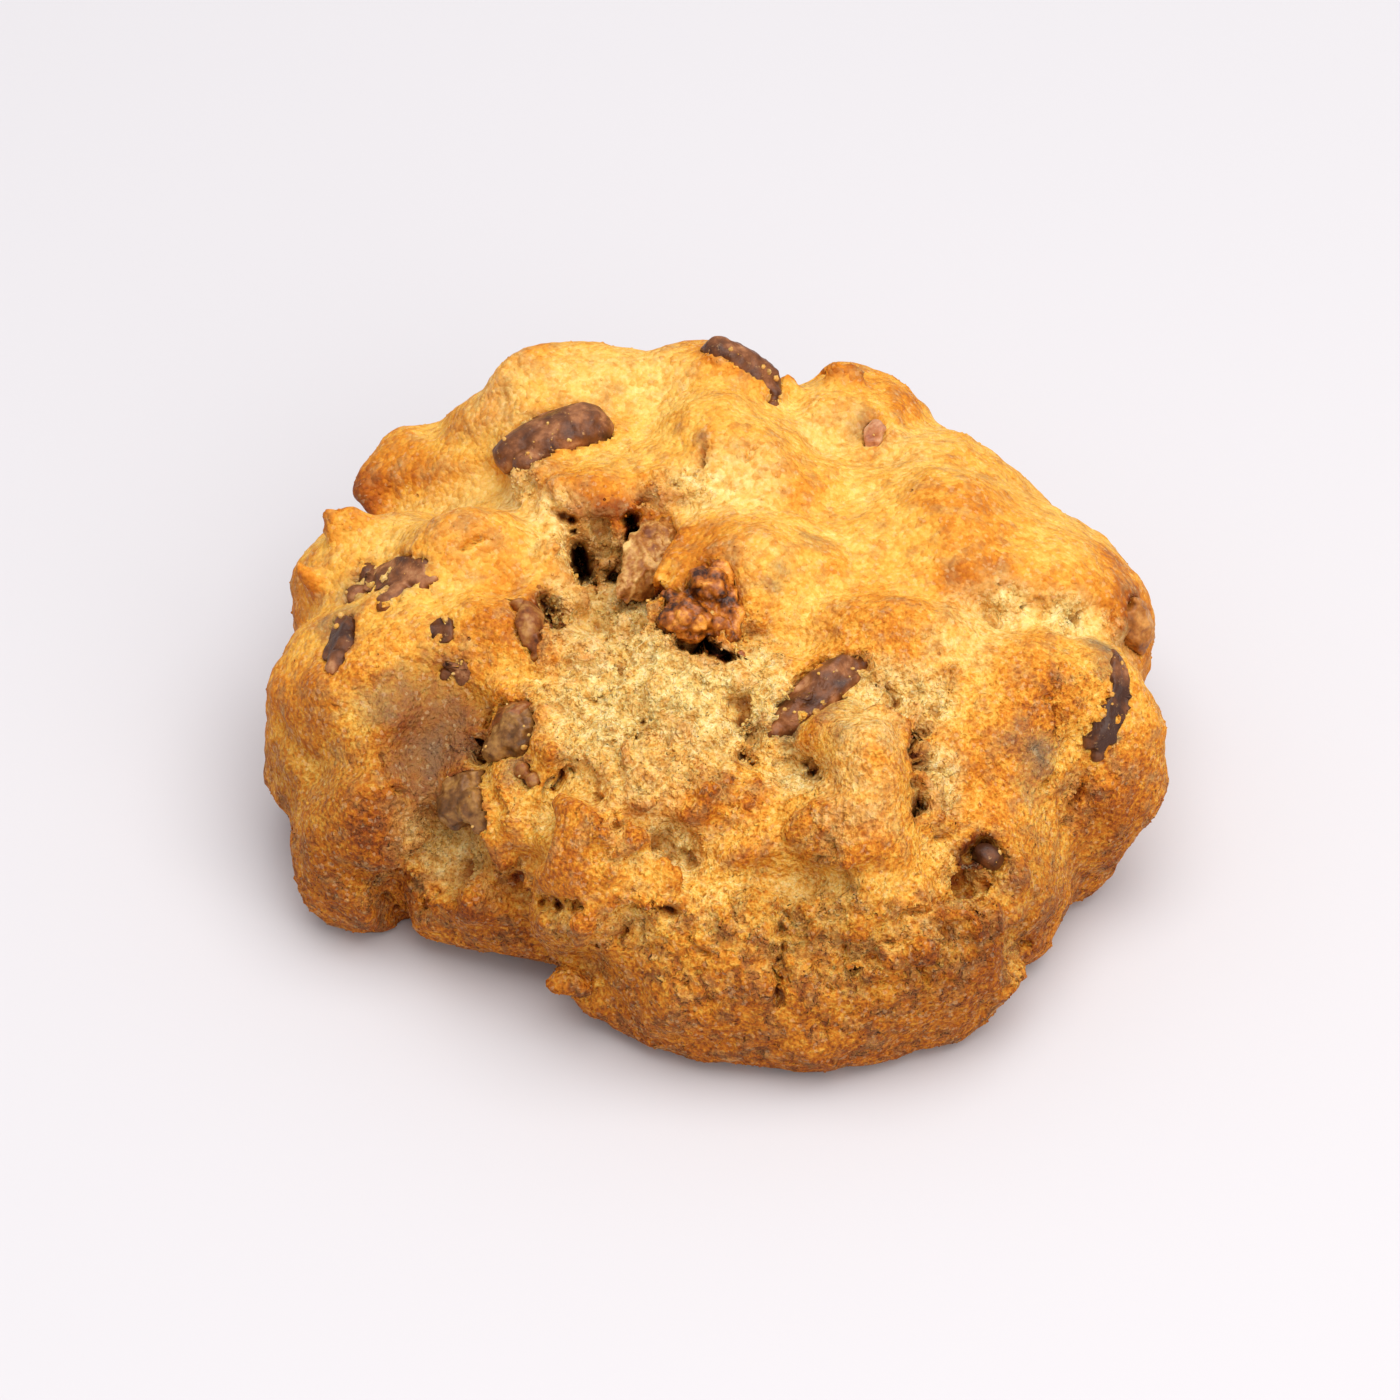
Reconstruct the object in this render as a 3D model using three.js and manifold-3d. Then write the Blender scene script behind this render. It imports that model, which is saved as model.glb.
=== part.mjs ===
// A thick, craggy walnut and chocolate cookie, as baked from one big scoop of dough.
// Millimetres, +Z up. The origin is the middle of the flat underside, and the best side faces -Y.
// The dough is a set of lobes that ran together in the oven. Its skin is found along rays from a
// point inside, then hollows and cracks are cut in it. Each nut and each chunk of chocolate is a
// lump of its own that sits in a pocket cut to its shape.
import * as THREE from "three";
import { mergeVertices } from "three/addons/utils/BufferGeometryUtils.js";
import Module from "manifold-3d";

// Driving dimensions, mm
const WIDTH = 100; // left to right, the size that everything below is drawn for
const HEART = new THREE.Vector3(0, 0, 9); // the point that the dough is seen from
const REACH = 70; // further out than any dough
const FLOOR_DEPTH = 40; // thickness of the slab that flattens the underside
const MELD = 1.6; // how softly one lobe runs into the next
const GAP = 0.35; // room between the dough and each piece in it

// How finely the round shapes are divided
const SKIN_DETAIL = 22; // divisions of an icosahedron's edge for the dough
const RISE = 1.35; // how much finer the skin is divided over the top than round the sides
const BLADE_DETAIL = 0;
const PIT_DETAIL = 1;
const SMALL_DETAIL = 1;
const LARGE_DETAIL = 2;

// How closely the shapes are worked out
const MET = 0.005; // a ray has met the skin once it is this near, mm
const STRIDE = 0.7; // share of the distance measured that a ray goes on by, so that it never skips a fold
const MOST_STEPS = 200; // steps along one ray
const BALL_WELD = 1e-5; // corners of a ball of radius 1 that are nearer than this are one
const SOLID_WELD = 1e-4; // corners of a finished shape that are nearer than this are one, mm

const COLOUR = { dough: 0xd9a45a, chocolate: 0x4a2c20, walnut: 0xa9764a };
const ROUGHNESS = { dough: 0.75, chocolate: 0.45, walnut: 0.6 };

// The scoop's body, and the lobes on it: where each is centred, its radii and its turn about Z
const BODY = { at: [1, 1.5, 8], radii: [42.5, 35, 27], square: 2.5 };
const LOBES = [
  { at: [-34, -4, 15], radii: [16, 15, 18] }, // left shoulder
  { at: [-36, 11, 17], radii: [12, 12, 14] }, // its back
  { at: [-26, 5, 20], radii: [14, 10, 16], turn: 10 }, // its crest
  { at: [-22, -7, 20], radii: [8, 9, 14] }, // inner cheek
  { at: [-36, -17, 9], radii: [10.5, 9.5, 14] }, // left foot
  { at: [-41, -3, 7], radii: [9, 11, 9] }, // left skirt
  { at: [-31, 31, 21], radii: [11.5, 8, 6.5], turn: 10 }, // knob at the back left
  { at: [-25, 28, 20], radii: [11, 11, 13] }, // back left shoulder
  { at: [-16.5, 31, 21.5], radii: [18.5, 13, 16.5] }, // back left mass
  { at: [-11, 15, 31.5], radii: [10, 7.5, 7], turn: 8 }, // lip over the hollow
  { at: [-16, 23, 24.5], radii: [12, 11, 13] }, // behind the lip
  { at: [-3, 31, 21.5], radii: [15, 13, 16] }, // back centre
  { at: [2, 17, 24], radii: [16, 15, 15.5] }, // crown
  { at: [15, 28.8, 22.8], radii: [10.5, 12, 14] }, // back right knob
  { at: [25, 22, 19], radii: [13.5, 12, 15] }, // back right shoulder
  { at: [31.5, 13.5, 15], radii: [14, 16, 14] }, // right back
  { at: [39, 3, 12], radii: [9, 10, 10] }, // right skirt
  { at: [23.5, 7.5, 17], radii: [26, 21, 19.5] }, // broad smooth back
  { at: [4, 1, 25], radii: [12, 12, 14] }, // right of the hollow
  { at: [17, -9, 21], radii: [18, 9, 16.5], turn: -8 }, // ridge across the middle
  { at: [32, -11, 15], radii: [15.5, 12, 17] }, // right shoulder
  { at: [38, -13, 13], radii: [10.5, 8, 8] }, // right bulge
  { at: [29, -23, 11], radii: [11, 10.5, 12] }, // front right
  { at: [15, -26, 18], radii: [8, 13, 16.5] }, // tongue
  { at: [-6, -22, 16], radii: [15, 14, 16] }, // pale middle
  { at: [3, -31, 15], radii: [8, 8, 13] }, // between knob and tongue
  { at: [-11, -33, 17], radii: [9, 8, 12] }, // front left knob
  { at: [-22, -25, 14], radii: [6.5, 6, 10] }, // small lobe beside that knob
  { at: [8, -33, 9], radii: [25, 12, 14.5] }, // front wall
  { at: [20, -29, 9], radii: [12, 11, 13] }, // front wall, right end
  { at: [-22, -22, 6], radii: [14, 8.5, 8] }, // thin front left ledge
  { at: [-17, -3, 30], radii: [3.5, 3, 4] }, // crumb lump at the hollow's edge
];

// The bumps and dents that run over every lobe: how far apart, and how deep
const WARP = { apart: 13, deep: 2.2 }; // pushes whole lobes out of round
const LUMPS = { apart: 5.5, deep: 1 };
const LUMPS_SEED = 7; // the warp has seeds 0, 1 and 2, one for each axis

// Large, unrelated numbers that turn a whole-number place into what looks like chance
const SCRAMBLE = { x: 127.1, y: 311.7, z: 74.7, seed: 53.3, stretch: 43758.5453 };

// A spot is any point near the skin: it is moved to the skin along a ray from the heart.
// A lump lies along the skin from one spot to another. It is so wide and so thick, and its middle
// is sunk below the skin by so much.

const PIT_BUMPY = 0.3; // how uneven the hollows are, as a share of their size
const BUMPS_PER_RADIUS = 2; // bumps on a lump or a hollow, counted along its radius

// Hollows and holes
const PITS = [
  { from: [-14, 5, 31], to: [-8, -9, 31], wide: 12, thick: 14, sink: 0 }, // the big hollow
  { from: [-17.5, 8, 33], to: [-14, 1, 31], wide: 5, thick: 20, sink: 4 }, // its deep corner
  { from: [-5, -11, 33], to: [2, -13, 34], wide: 4.5, thick: 12, sink: 2 }, // under the dark nut
  { from: [-20, -5, 34], to: [-17, -8, 33], wide: 3.5, thick: 7, sink: 1 }, // beside the crumb lump
  { from: [15.5, 25, 34], to: [19, 21, 33], wide: 4, thick: 4, sink: 0.5 }, // at the back right knob
  { from: [-27, -20.5, 25], to: [-24, -19, 26.5], wide: 2.5, thick: 6, sink: 1 }, // between two nuts
  { from: [27.5, -32, 20.5], to: [28.5, -35.5, 19], wide: 3, thick: 6, sink: 1 }, // front right hole
  { from: [7.2, -43, 18], to: [7.2, -45, 14], wide: 1.4, thick: 5, sink: 1 }, // front hole
];

// Cracks, each along a line of spots
const CRACKS = [
  // from the ridge to the right edge
  { wide: 1.6, thick: 5, spots: [[25, -4.5, 34], [33, -4, 32], [38, -2.5, 31], [40, -3, 29], [43, -4, 26]] },
  // down the tongue's right side, and its start beside the middle chunk
  { wide: 1.6, thick: 5, spots: [[21, -19.5, 29], [22, -23.5, 27], [21.5, -31, 27]] },
  { wide: 1.1, thick: 3, spots: [[15, -14, 33], [18.5, -17, 31], [19, -20, 30]] },
  // three down the front wall
  { wide: 1.1, thick: 4, spots: [[7, -39.5, 22], [7.2, -43.5, 17.5], [7, -45.5, 13.5]] },
  { wide: 1.1, thick: 3.5, spots: [[22, -41.5, 18], [22, -43.5, 13]] },
  { wide: 1.2, thick: 4, spots: [[28.5, -33.5, 19], [28, -37, 18], [27.5, -39, 17.5]] },
  // under, behind and to the right of the front left knob
  { wide: 1.2, thick: 5, spots: [[-19, -37, 19], [-14, -39.5, 21.5]] },
  { wide: 1.4, thick: 4, spots: [[-13, -31, 30], [-8, -33, 29], [-5, -33.5, 26.5]] },
  { wide: 1.6, thick: 3.5, spots: [[-8, -38.5, 24], [0.5, -38.5, 23], [9, -38.5, 22.5], [17, -39.5, 24]] },
  // two in the pale middle
  { wide: 1.1, thick: 3.5, spots: [[-8, -19, 31], [-8, -25, 31]] },
  { wide: 1.4, thick: 4.5, spots: [[3.5, -21.5, 31], [4.5, -25, 28]] },
  // beside the chunk at the top
  { wide: 1.4, thick: 4, spots: [[12, 33, 35], [9.5, 31.5, 34], [8, 28.5, 33.5]] },
  // the dent across the left shoulder
  { wide: 2, thick: 3, spots: [[-32, -11, 31.5], [-37.5, -14.5, 27.5]] },
];

// Chunks of chocolate and pieces of walnut. Each is one lump or a few that have grown together.
const CHUNK = { kind: "chocolate", square: 3, bumpy: 0.1 };
const NUT = { kind: "walnut", square: 2.2, bumpy: 0.28 };
const PIECES = [
  { ...CHUNK, name: "chocolate_back_left", detail: LARGE_DETAIL,
    lumps: [{ from: [-23, 18.5, 31], to: [-12.5, 25, 36.5], wide: 5.5, thick: 5, sink: 1.6 }] },
  { ...CHUNK, name: "chocolate_top", detail: LARGE_DETAIL,
    lumps: [{ from: [-0.5, 33, 38.5], to: [8, 32.5, 34.5], wide: 6, thick: 4.4, sink: 1.7 }] },
  { ...CHUNK, name: "chocolate_middle", detail: LARGE_DETAIL,
    lumps: [{ from: [15.5, -13.5, 33], to: [7, -21, 30], wide: 4.5, thick: 5, sink: 1.6 }] },
  { ...CHUNK, name: "chocolate_right",
    lumps: [{ from: [41, -7.5, 28], to: [41, -18.5, 23.5], wide: 2.6, thick: 5, sink: 2.2 }] },
  { ...CHUNK, name: "chocolate_left_upper",
    lumps: [{ from: [-39, 4.5, 29], to: [-31.5, 0, 34.5], wide: 4.2, thick: 4, sink: 1.3 }] },
  { ...CHUNK, name: "chocolate_left_lower",
    lumps: [{ from: [-40.5, -2.5, 30], to: [-42, -8, 28], wide: 3, thick: 4, sink: 1.3 }] },
  { ...CHUNK, name: "chocolate_spot_upper",
    lumps: [{ from: [-29.5, -6.5, 33], to: [-30, -9.5, 32], wide: 2.2, thick: 3, sink: 0.9 }] },
  { ...CHUNK, name: "chocolate_spot_lower",
    lumps: [{ from: [-29, -11, 31], to: [-28.5, -13.5, 29.5], wide: 2, thick: 3, sink: 0.9 }] },
  { ...CHUNK, name: "chocolate_front",
    lumps: [{ from: [28, -30.5, 21.5], to: [30.5, -31.5, 20], wide: 2.6, thick: 4, sink: 1.6 }] },
  { ...NUT, name: "walnut_pale", detail: LARGE_DETAIL,
    lumps: [{ from: [-5, 8.5, 34], to: [-9, -1, 30], wide: 5, thick: 6, sink: 2 }] },
  { ...NUT, name: "walnut_dark",
    lumps: [
      { from: [-3, -3, 36], to: [2, -7, 36], wide: 4.6, thick: 6, sink: 0.6 },
      { from: [-6.5, -7, 34], to: [0, -9.5, 34.5], wide: 4.6, thick: 5, sink: 0.4 },
    ] },
  { ...NUT, name: "walnut_left_upper",
    lumps: [{ from: [-22, -15.5, 29], to: [-21.5, -22, 27], wide: 5, thick: 5, sink: 1.4 }] },
  { ...NUT, name: "walnut_left_middle",
    lumps: [{ from: [-21, -23.3, 27], to: [-20.3, -26, 26], wide: 2.6, thick: 3, sink: 0.9 }] },
  { ...NUT, name: "walnut_left_lower",
    lumps: [{ from: [-27, -21, 24], to: [-27, -24, 18], wide: 4, thick: 5, sink: 1 }] },
  { ...NUT, name: "walnut_rim",
    lumps: [{ from: [-21, -5, 34.5], to: [-19, -11, 31.5], wide: 2.6, thick: 4, sink: 1.1 }] },
  { ...NUT, name: "walnut_back",
    lumps: [{ from: [18.5, 26, 34], to: [18, 22.5, 33.5], wide: 2.2, thick: 3, sink: 0.7 }] },
  { ...NUT, name: "walnut_right",
    lumps: [{ from: [44.5, 2, 27.5], to: [47.5, 2.5, 20.5], wide: 4.5, thick: 4, sink: 1.4 }] },
];

const wasm = await Module();
wasm.setup();

// A lobe's place and shape made ready for measuring
function ready({ at, radii, turn = 0 }) {
  const back = new THREE.Quaternion().setFromAxisAngle(
    new THREE.Vector3(0, 0, 1), -THREE.MathUtils.degToRad(turn));
  return { centre: new THREE.Vector3(...at), radii: new THREE.Vector3(...radii), back };
}

// About how far a point is from an ellipsoid, negative inside it
function ellipsoidDistance(point, { centre, radii, back }) {
  const once = point.clone().sub(centre).applyQuaternion(back).divide(radii);
  const near = once.length();
  const slope = once.divide(radii).length();
  return slope === 0 ? -radii.x : (near * (near - 1)) / slope;
}

// The lesser of two distances, with a fillet of the given size where they cross
function meld(a, b, size) {
  const share = Math.max(size - Math.abs(a - b), 0) / size;
  return Math.min(a, b) - (share * share * size) / 4;
}

// A number from -1 to 1 for each whole-number place, always the same
function latticeValue(i, j, k, seed) {
  const mixed = i * SCRAMBLE.x + j * SCRAMBLE.y + k * SCRAMBLE.z + seed * SCRAMBLE.seed;
  const s = Math.sin(mixed) * SCRAMBLE.stretch;
  return 2 * (s - Math.floor(s)) - 1;
}

// Smooth noise from -1 to 1 whose bumps are one unit apart
function noise(x, y, z, seed) {
  const [i, j, k] = [x, y, z].map(Math.floor);
  const [u, v, w] = [x - i, y - j, z - k].map((t) => t * t * (3 - 2 * t));
  let sum = 0;
  for (const [di, wi] of [[0, 1 - u], [1, u]])
    for (const [dj, wj] of [[0, 1 - v], [1, v]])
      for (const [dk, wk] of [[0, 1 - w], [1, w]])
        sum += wi * wj * wk * latticeValue(i + di, j + dj, k + dk, seed);
  return sum;
}

function noiseAt(point, { apart, deep }, seed) {
  return deep * noise(point.x / apart, point.y / apart, point.z / apart, seed);
}

// The body is a rounded drum: an ellipsoid with fuller shoulders
function bodyDistance(point) {
  const [x, y, z] = point.toArray().map((value, axis) => (value - BODY.at[axis]) / BODY.radii[axis]);
  const near = (Math.hypot(x, y) ** BODY.square + Math.abs(z) ** BODY.square) ** (1 / BODY.square);
  return (near - 1) * BODY.radii[2];
}

const lobes = LOBES.map(ready);

function doughDistance(place) {
  const pushed = place.toArray().map((value, axis) => value + noiseAt(place, WARP, axis));
  const point = new THREE.Vector3(...pushed);
  let distance = bodyDistance(point);
  for (const lobe of lobes) distance = meld(distance, ellipsoidDistance(point, lobe), MELD);
  return distance + noiseAt(place, LUMPS, LUMPS_SEED);
}

// The outermost place where a ray from the heart leaves the dough
function skinPoint(direction) {
  let far = REACH;
  const point = new THREE.Vector3();
  for (let step = 0; step < MOST_STEPS; step += 1) {
    point.copy(HEART).addScaledVector(direction, far);
    const distance = doughDistance(point);
    if (distance < MET) break;
    far -= distance * STRIDE;
  }
  return point;
}

function onSkin(spot) {
  return skinPoint(new THREE.Vector3(...spot).sub(HEART).normalize());
}

// The same number of corners for every ball, with nothing but their places
function bareBall(detail) {
  const ball = new THREE.IcosahedronGeometry(1, detail);
  ball.deleteAttribute("normal");
  ball.deleteAttribute("uv");
  return mergeVertices(ball, BALL_WELD);
}

function moveCorners(geometry, move) {
  const places = geometry.getAttribute("position");
  for (let i = 0; i < places.count; i += 1)
    places.setXYZ(i, ...move(new THREE.Vector3().fromBufferAttribute(places, i)));
  return geometry;
}

function doughSkin() {
  return moveCorners(bareBall(SKIN_DETAIL), (corner) => {
    corner.z *= RISE;
    return skinPoint(corner.normalize());
  });
}

// A ball squared off like a chunk and roughened with bumps, then laid along the skin.
// It can be grown by some distance all round, for the pocket that it sits in.
function laidLump({ from, to, wide, thick, sink = 0 }, { square = 2, bumpy = 0, detail }, seed, grow = 0) {
  const [start, end] = [onSkin(from), onSkin(to)];
  const middle = onSkin(start.clone().add(end).multiplyScalar(0.5));
  const along = end.clone().sub(start).normalize();
  const across = middle.clone().sub(HEART).cross(along).normalize();
  const out = along.clone().cross(across);
  const half = [start.distanceTo(end), wide, thick].map((size) => size / 2 + grow);
  middle.addScaledVector(out, -sink);
  const place = new THREE.Matrix4().makeBasis(along, across, out).setPosition(middle);
  return moveCorners(bareBall(detail), (corner) => {
    const [x, y, z] = corner.toArray();
    const power = Math.abs(x) ** square + Math.abs(y) ** square + Math.abs(z) ** square;
    const bumps = [x, y, z].map((value) => value * BUMPS_PER_RADIUS);
    const size = power ** (-1 / square) * (1 + bumpy * noise(...bumps, seed));
    const sized = new THREE.Vector3(x * half[0], y * half[1], z * half[2]).multiplyScalar(size);
    return sized.applyMatrix4(place);
  });
}

function solidOf(geometry) {
  const merged = mergeVertices(geometry, SOLID_WELD);
  return new wasm.Manifold(
    new wasm.Mesh({
      numProp: 3,
      vertProperties: new Float32Array(merged.getAttribute("position").array),
      triVerts: new Uint32Array(merged.index.array),
    }),
  );
}

function geometryOf(solid) {
  const { vertProperties, triVerts } = solid.getMesh();
  const geometry = new THREE.BufferGeometry();
  geometry.setAttribute("position", new THREE.BufferAttribute(new Float32Array(vertProperties), 3));
  geometry.setIndex(new THREE.BufferAttribute(new Uint32Array(triVerts), 1));
  geometry.computeVertexNormals();
  return geometry;
}

function slabBelowFloor() {
  const slab = new THREE.BoxGeometry(2 * WIDTH, 2 * WIDTH, FLOOR_DEPTH);
  slab.deleteAttribute("normal");
  slab.deleteAttribute("uv");
  slab.translate(0, 0, -FLOOR_DEPTH / 2);
  return solidOf(slab);
}

// One solid for each piece, and one for the pocket that it sits in
function pieceSolid(piece, seed, grow) {
  const shape = { detail: SMALL_DETAIL, ...piece };
  return wasm.Manifold.union(
    piece.lumps.map((lump, index) => solidOf(laidLump(lump, shape, seed + index, grow))));
}

// A crack is a chain of thin blades that stand in the skin
function crackBlades({ spots, wide, thick }) {
  return spots.slice(1).map((to, index) => {
    const blade = { from: spots[index], to, wide, thick };
    return solidOf(laidLump(blade, { detail: BLADE_DETAIL }, index));
  });
}

function doughWithPockets() {
  const hole = { bumpy: PIT_BUMPY, detail: PIT_DETAIL };
  const pits = PITS.map((pit, index) => solidOf(laidLump(pit, hole, index)));
  const pockets = PIECES.map((piece, index) => pieceSolid(piece, index, GAP));
  const cutters = [slabBelowFloor(), ...pits, ...CRACKS.flatMap(crackBlades), ...pockets];
  return solidOf(doughSkin()).subtract(wasm.Manifold.union(cutters));
}

const cookie = new THREE.Group();

function addPiece(name, solid, kind) {
  const mesh = new THREE.Mesh(
    geometryOf(solid),
    new THREE.MeshStandardMaterial({ color: COLOUR[kind], roughness: ROUGHNESS[kind], metalness: 0 }),
  );
  mesh.name = name;
  cookie.add(mesh);
}

addPiece("dough", doughWithPockets(), "dough");
PIECES.forEach((piece, index) => addPiece(piece.name, pieceSolid(piece, index, 0), piece.kind));

// Centre the whole on its box, with the underside on the floor
const box = new THREE.Box3().setFromObject(cookie);
const middle = box.getCenter(new THREE.Vector3());
for (const mesh of cookie.children) mesh.geometry.translate(-middle.x, -middle.y, -box.min.z);

export default cookie;
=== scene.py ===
# %% [markdown]
# # A walnut and chocolate cookie
# One big scoop of dough was baked on a flat tray. Its lobes ran together, the crust set and
# browned, and then the inside went on rising and tore it open. So the picture is made in the same
# order: the scoop's form, the creases between its lobes, the tears, the crumb in them, the crust's
# grain, and last the browning. The nuts and the chocolate lie in pockets that the frame already has.

# %% Load the frame
import math
import random

import bpy
import numpy as np
from mathutils import Matrix, Quaternion, Vector, kdtree, noise
from mathutils.bvhtree import BVHTree


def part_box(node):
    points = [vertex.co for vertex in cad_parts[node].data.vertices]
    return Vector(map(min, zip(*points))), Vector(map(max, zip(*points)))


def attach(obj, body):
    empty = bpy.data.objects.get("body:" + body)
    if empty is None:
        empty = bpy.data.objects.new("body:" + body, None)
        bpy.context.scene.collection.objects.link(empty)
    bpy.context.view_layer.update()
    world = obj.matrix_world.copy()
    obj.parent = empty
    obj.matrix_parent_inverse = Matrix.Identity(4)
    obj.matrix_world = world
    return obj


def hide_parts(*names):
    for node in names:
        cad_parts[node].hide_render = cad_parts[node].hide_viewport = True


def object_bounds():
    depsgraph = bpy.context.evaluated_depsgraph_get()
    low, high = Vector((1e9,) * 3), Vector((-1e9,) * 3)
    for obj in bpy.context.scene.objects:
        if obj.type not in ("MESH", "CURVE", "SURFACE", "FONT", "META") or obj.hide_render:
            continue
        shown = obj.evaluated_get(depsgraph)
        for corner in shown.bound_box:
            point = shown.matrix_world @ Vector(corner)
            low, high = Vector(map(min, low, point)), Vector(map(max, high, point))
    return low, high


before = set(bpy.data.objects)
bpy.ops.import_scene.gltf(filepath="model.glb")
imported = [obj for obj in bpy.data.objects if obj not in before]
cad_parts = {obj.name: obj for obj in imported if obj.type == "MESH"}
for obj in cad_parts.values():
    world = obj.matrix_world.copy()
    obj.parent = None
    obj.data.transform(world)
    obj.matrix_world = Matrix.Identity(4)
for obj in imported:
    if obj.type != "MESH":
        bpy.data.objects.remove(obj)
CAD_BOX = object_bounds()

MM = 0.001
random.seed(11)
print("frame box, mm:", [[round(v / MM, 1) for v in corner] for corner in CAD_BOX])

# %% [markdown]
# ## The camera
# The cookie was photographed from a step back with a long lens, looking down at about 42 degrees.
# A lens of 130 mm keeps the far side nearly as large as the near side, as it is in the picture.
# The picture is 1400 pixels wide, and at the middle of the cookie 9 of them make a millimetre.

# %% Camera
PICTURE = 1400  # pixels, both ways
PX_PER_MM = 9.0
CAMERA_DISTANCE = 561.6 * MM
CAMERA_TILT = math.radians(42)
AIM = Vector((-1.58, 1.39, 15)) * MM
SENSOR = 36.0

camera_data = bpy.data.cameras.new("camera")
camera_data.sensor_width = SENSOR
camera_data.lens = SENSOR * CAMERA_DISTANCE / (PICTURE / PX_PER_MM * MM)
camera = bpy.data.objects.new("camera", camera_data)
bpy.context.scene.collection.objects.link(camera)
bpy.context.scene.camera = camera
BACK = Vector((0, -math.cos(CAMERA_TILT), math.sin(CAMERA_TILT)))
RIGHT = Vector((1, 0, 0))
UP = BACK.cross(RIGHT)
camera.location = AIM + BACK * CAMERA_DISTANCE
camera.rotation_euler = Matrix((RIGHT, UP, BACK)).transposed().to_euler()
print("lens, mm:", round(camera_data.lens, 1))


# %% Sight lines
# Where the sight line through a pixel of the picture meets a mesh. Many places below are named by
# the pixel where they show, and this puts them on the cookie itself.
def sight_line(px, py):
    half = PICTURE / 2
    across = (px - half) / PX_PER_MM * MM
    up = (half - py) / PX_PER_MM * MM
    return (RIGHT * across + UP * up - BACK * CAMERA_DISTANCE).normalized()


def on_skin(tree, px, py):
    """Place and normal where the sight line meets the mesh, or two times None where it misses."""
    return tree.ray_cast(camera.location, sight_line(px, py))[:2]


# %% [markdown]
# ## Floor and light
# The cookie lies on a pale table in soft daylight. Most of it comes from straight above, through
# something as large as a skylight, so the tops are bright, the wall below them is darker and the
# shadow is a soft rim on the table. A weaker light from the front right opens the wall's shade, and
# the pale room fills in the rest.

# %% Floor
def hex_colour(text):
    """An sRGB hex colour as linear red, green, blue and alpha."""
    channels = [int(text[i:i + 2], 16) / 255 for i in (1, 3, 5)]
    return [c / 12.92 if c <= 0.04045 else ((c + 0.055) / 1.055) ** 2.4 for c in channels] + [1.0]


def add_node(tree, kind, links=(), **settings):
    """A node with its settings. A setting named input_0 or input_Scale sets a socket's value, and
    each link is (socket of the new node, output of another)."""
    node = tree.nodes.new(kind)
    for key, value in settings.items():
        if key.startswith("input_"):
            name = key[6:].replace("_", " ")
            node.inputs[int(name) if name.isdigit() else name].default_value = value
        else:
            setattr(node, key, value)
    for socket, output in links:
        tree.links.new(node.inputs[socket], output)
    return node


def new_material(name):
    material = bpy.data.materials.new(name)
    material.use_nodes = True
    return material, material.node_tree, material.node_tree.nodes["Principled BSDF"]


def deselect_all():
    bpy.ops.object.select_all(action="DESELECT")


def make_active(piece):
    deselect_all()
    piece.select_set(True)
    bpy.context.view_layer.objects.active = piece


FLOOR_SIZE = 3.0
deselect_all()
bpy.ops.mesh.primitive_plane_add(size=FLOOR_SIZE, location=(0, 0, 0))
floor = bpy.context.object
floor.name = "floor"
floor_material, _, floor_shader = new_material("matt pale table top")
floor_shader.inputs["Base Color"].default_value = hex_colour("#CFCDD1")
floor_shader.inputs["Roughness"].default_value = 0.75
floor_shader.inputs["Specular IOR Level"].default_value = 0.2
floor.data.materials.append(floor_material)


# %% Lights
# Place and size in metres, power in watts.
def window(name, place, size, power, colour):
    light = bpy.data.lights.new(name, "AREA")
    light.shape = "DISK"
    light.size = size
    light.energy = power
    light.color = hex_colour(colour)[:3]
    lamp = bpy.data.objects.new(name, light)
    bpy.context.scene.collection.objects.link(lamp)
    lamp.location = place
    lamp.rotation_euler = (Vector(place) - AIM).to_track_quat("Z", "Y").to_euler()


window("skylight", (0.12, -0.1, 0.95), 1.1, 9.2, "#FFFDFA")
window("front fill", (0.42, -0.66, 0.5), 0.7, 2.7, "#FFFAF2")
bpy.context.scene.view_settings.view_transform = "Standard"
world = bpy.data.worlds.new("pale room")
bpy.context.scene.world = world
world.use_nodes = True
world.node_tree.nodes["Background"].inputs["Color"].default_value = hex_colour("#FBFAFC")
world.node_tree.nodes["Background"].inputs["Strength"].default_value = 0.65
print("lights:", [light.name for light in bpy.data.lights])

# %% [markdown]
# ## The dough's form
# The frame's dough is a coarse block-in: the lobes, the hollows and the pockets for the nuts and
# the chocolate are in place, with flat facets and a thin gap round each piece. Dough hugs what is
# baked in it, so a copy of each piece, a little larger and sunk a little deeper, is joined to the
# dough and closes its gap. Then the Remesh modifier fills all of it with small even cells and
# draws one skin round them, which gives every later stroke the same fine grid to work on.

# %% One body, with its pockets filled
SKIN_CELL = 0.5 * MM
HEART = Vector((0.1, 1.4, 9)) * MM  # the lobes grew outwards from here
PLUG_GROW = 0.6 * MM
PLUG_SINK = 1.5 * MM
SAME_PLACE = 0.002 * MM
# These stand in the open hollow, with no gap to fill.
STANDING_FREE = ("walnut_pale", "walnut_dark")


def apply_modifier(piece, kind, **settings):
    modifier = piece.modifiers.new(kind.lower(), kind)
    for key, value in settings.items():
        setattr(modifier, key, value)
    make_active(piece)
    bpy.ops.object.modifier_apply(modifier=modifier.name)


def copy_of_node(node, name):
    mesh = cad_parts[node].data.copy()
    mesh.materials.clear()
    piece = bpy.data.objects.new(name, mesh)
    bpy.context.scene.collection.objects.link(piece)
    make_active(piece)
    bpy.ops.object.mode_set(mode="EDIT")
    bpy.ops.mesh.select_all(action="SELECT")
    bpy.ops.mesh.remove_doubles(threshold=SAME_PLACE)
    bpy.ops.object.mode_set(mode="OBJECT")
    return piece


def join_into(piece, others):
    deselect_all()
    for other in others:
        other.select_set(True)
    piece.select_set(True)
    bpy.context.view_layer.objects.active = piece
    bpy.ops.object.join()


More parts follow.
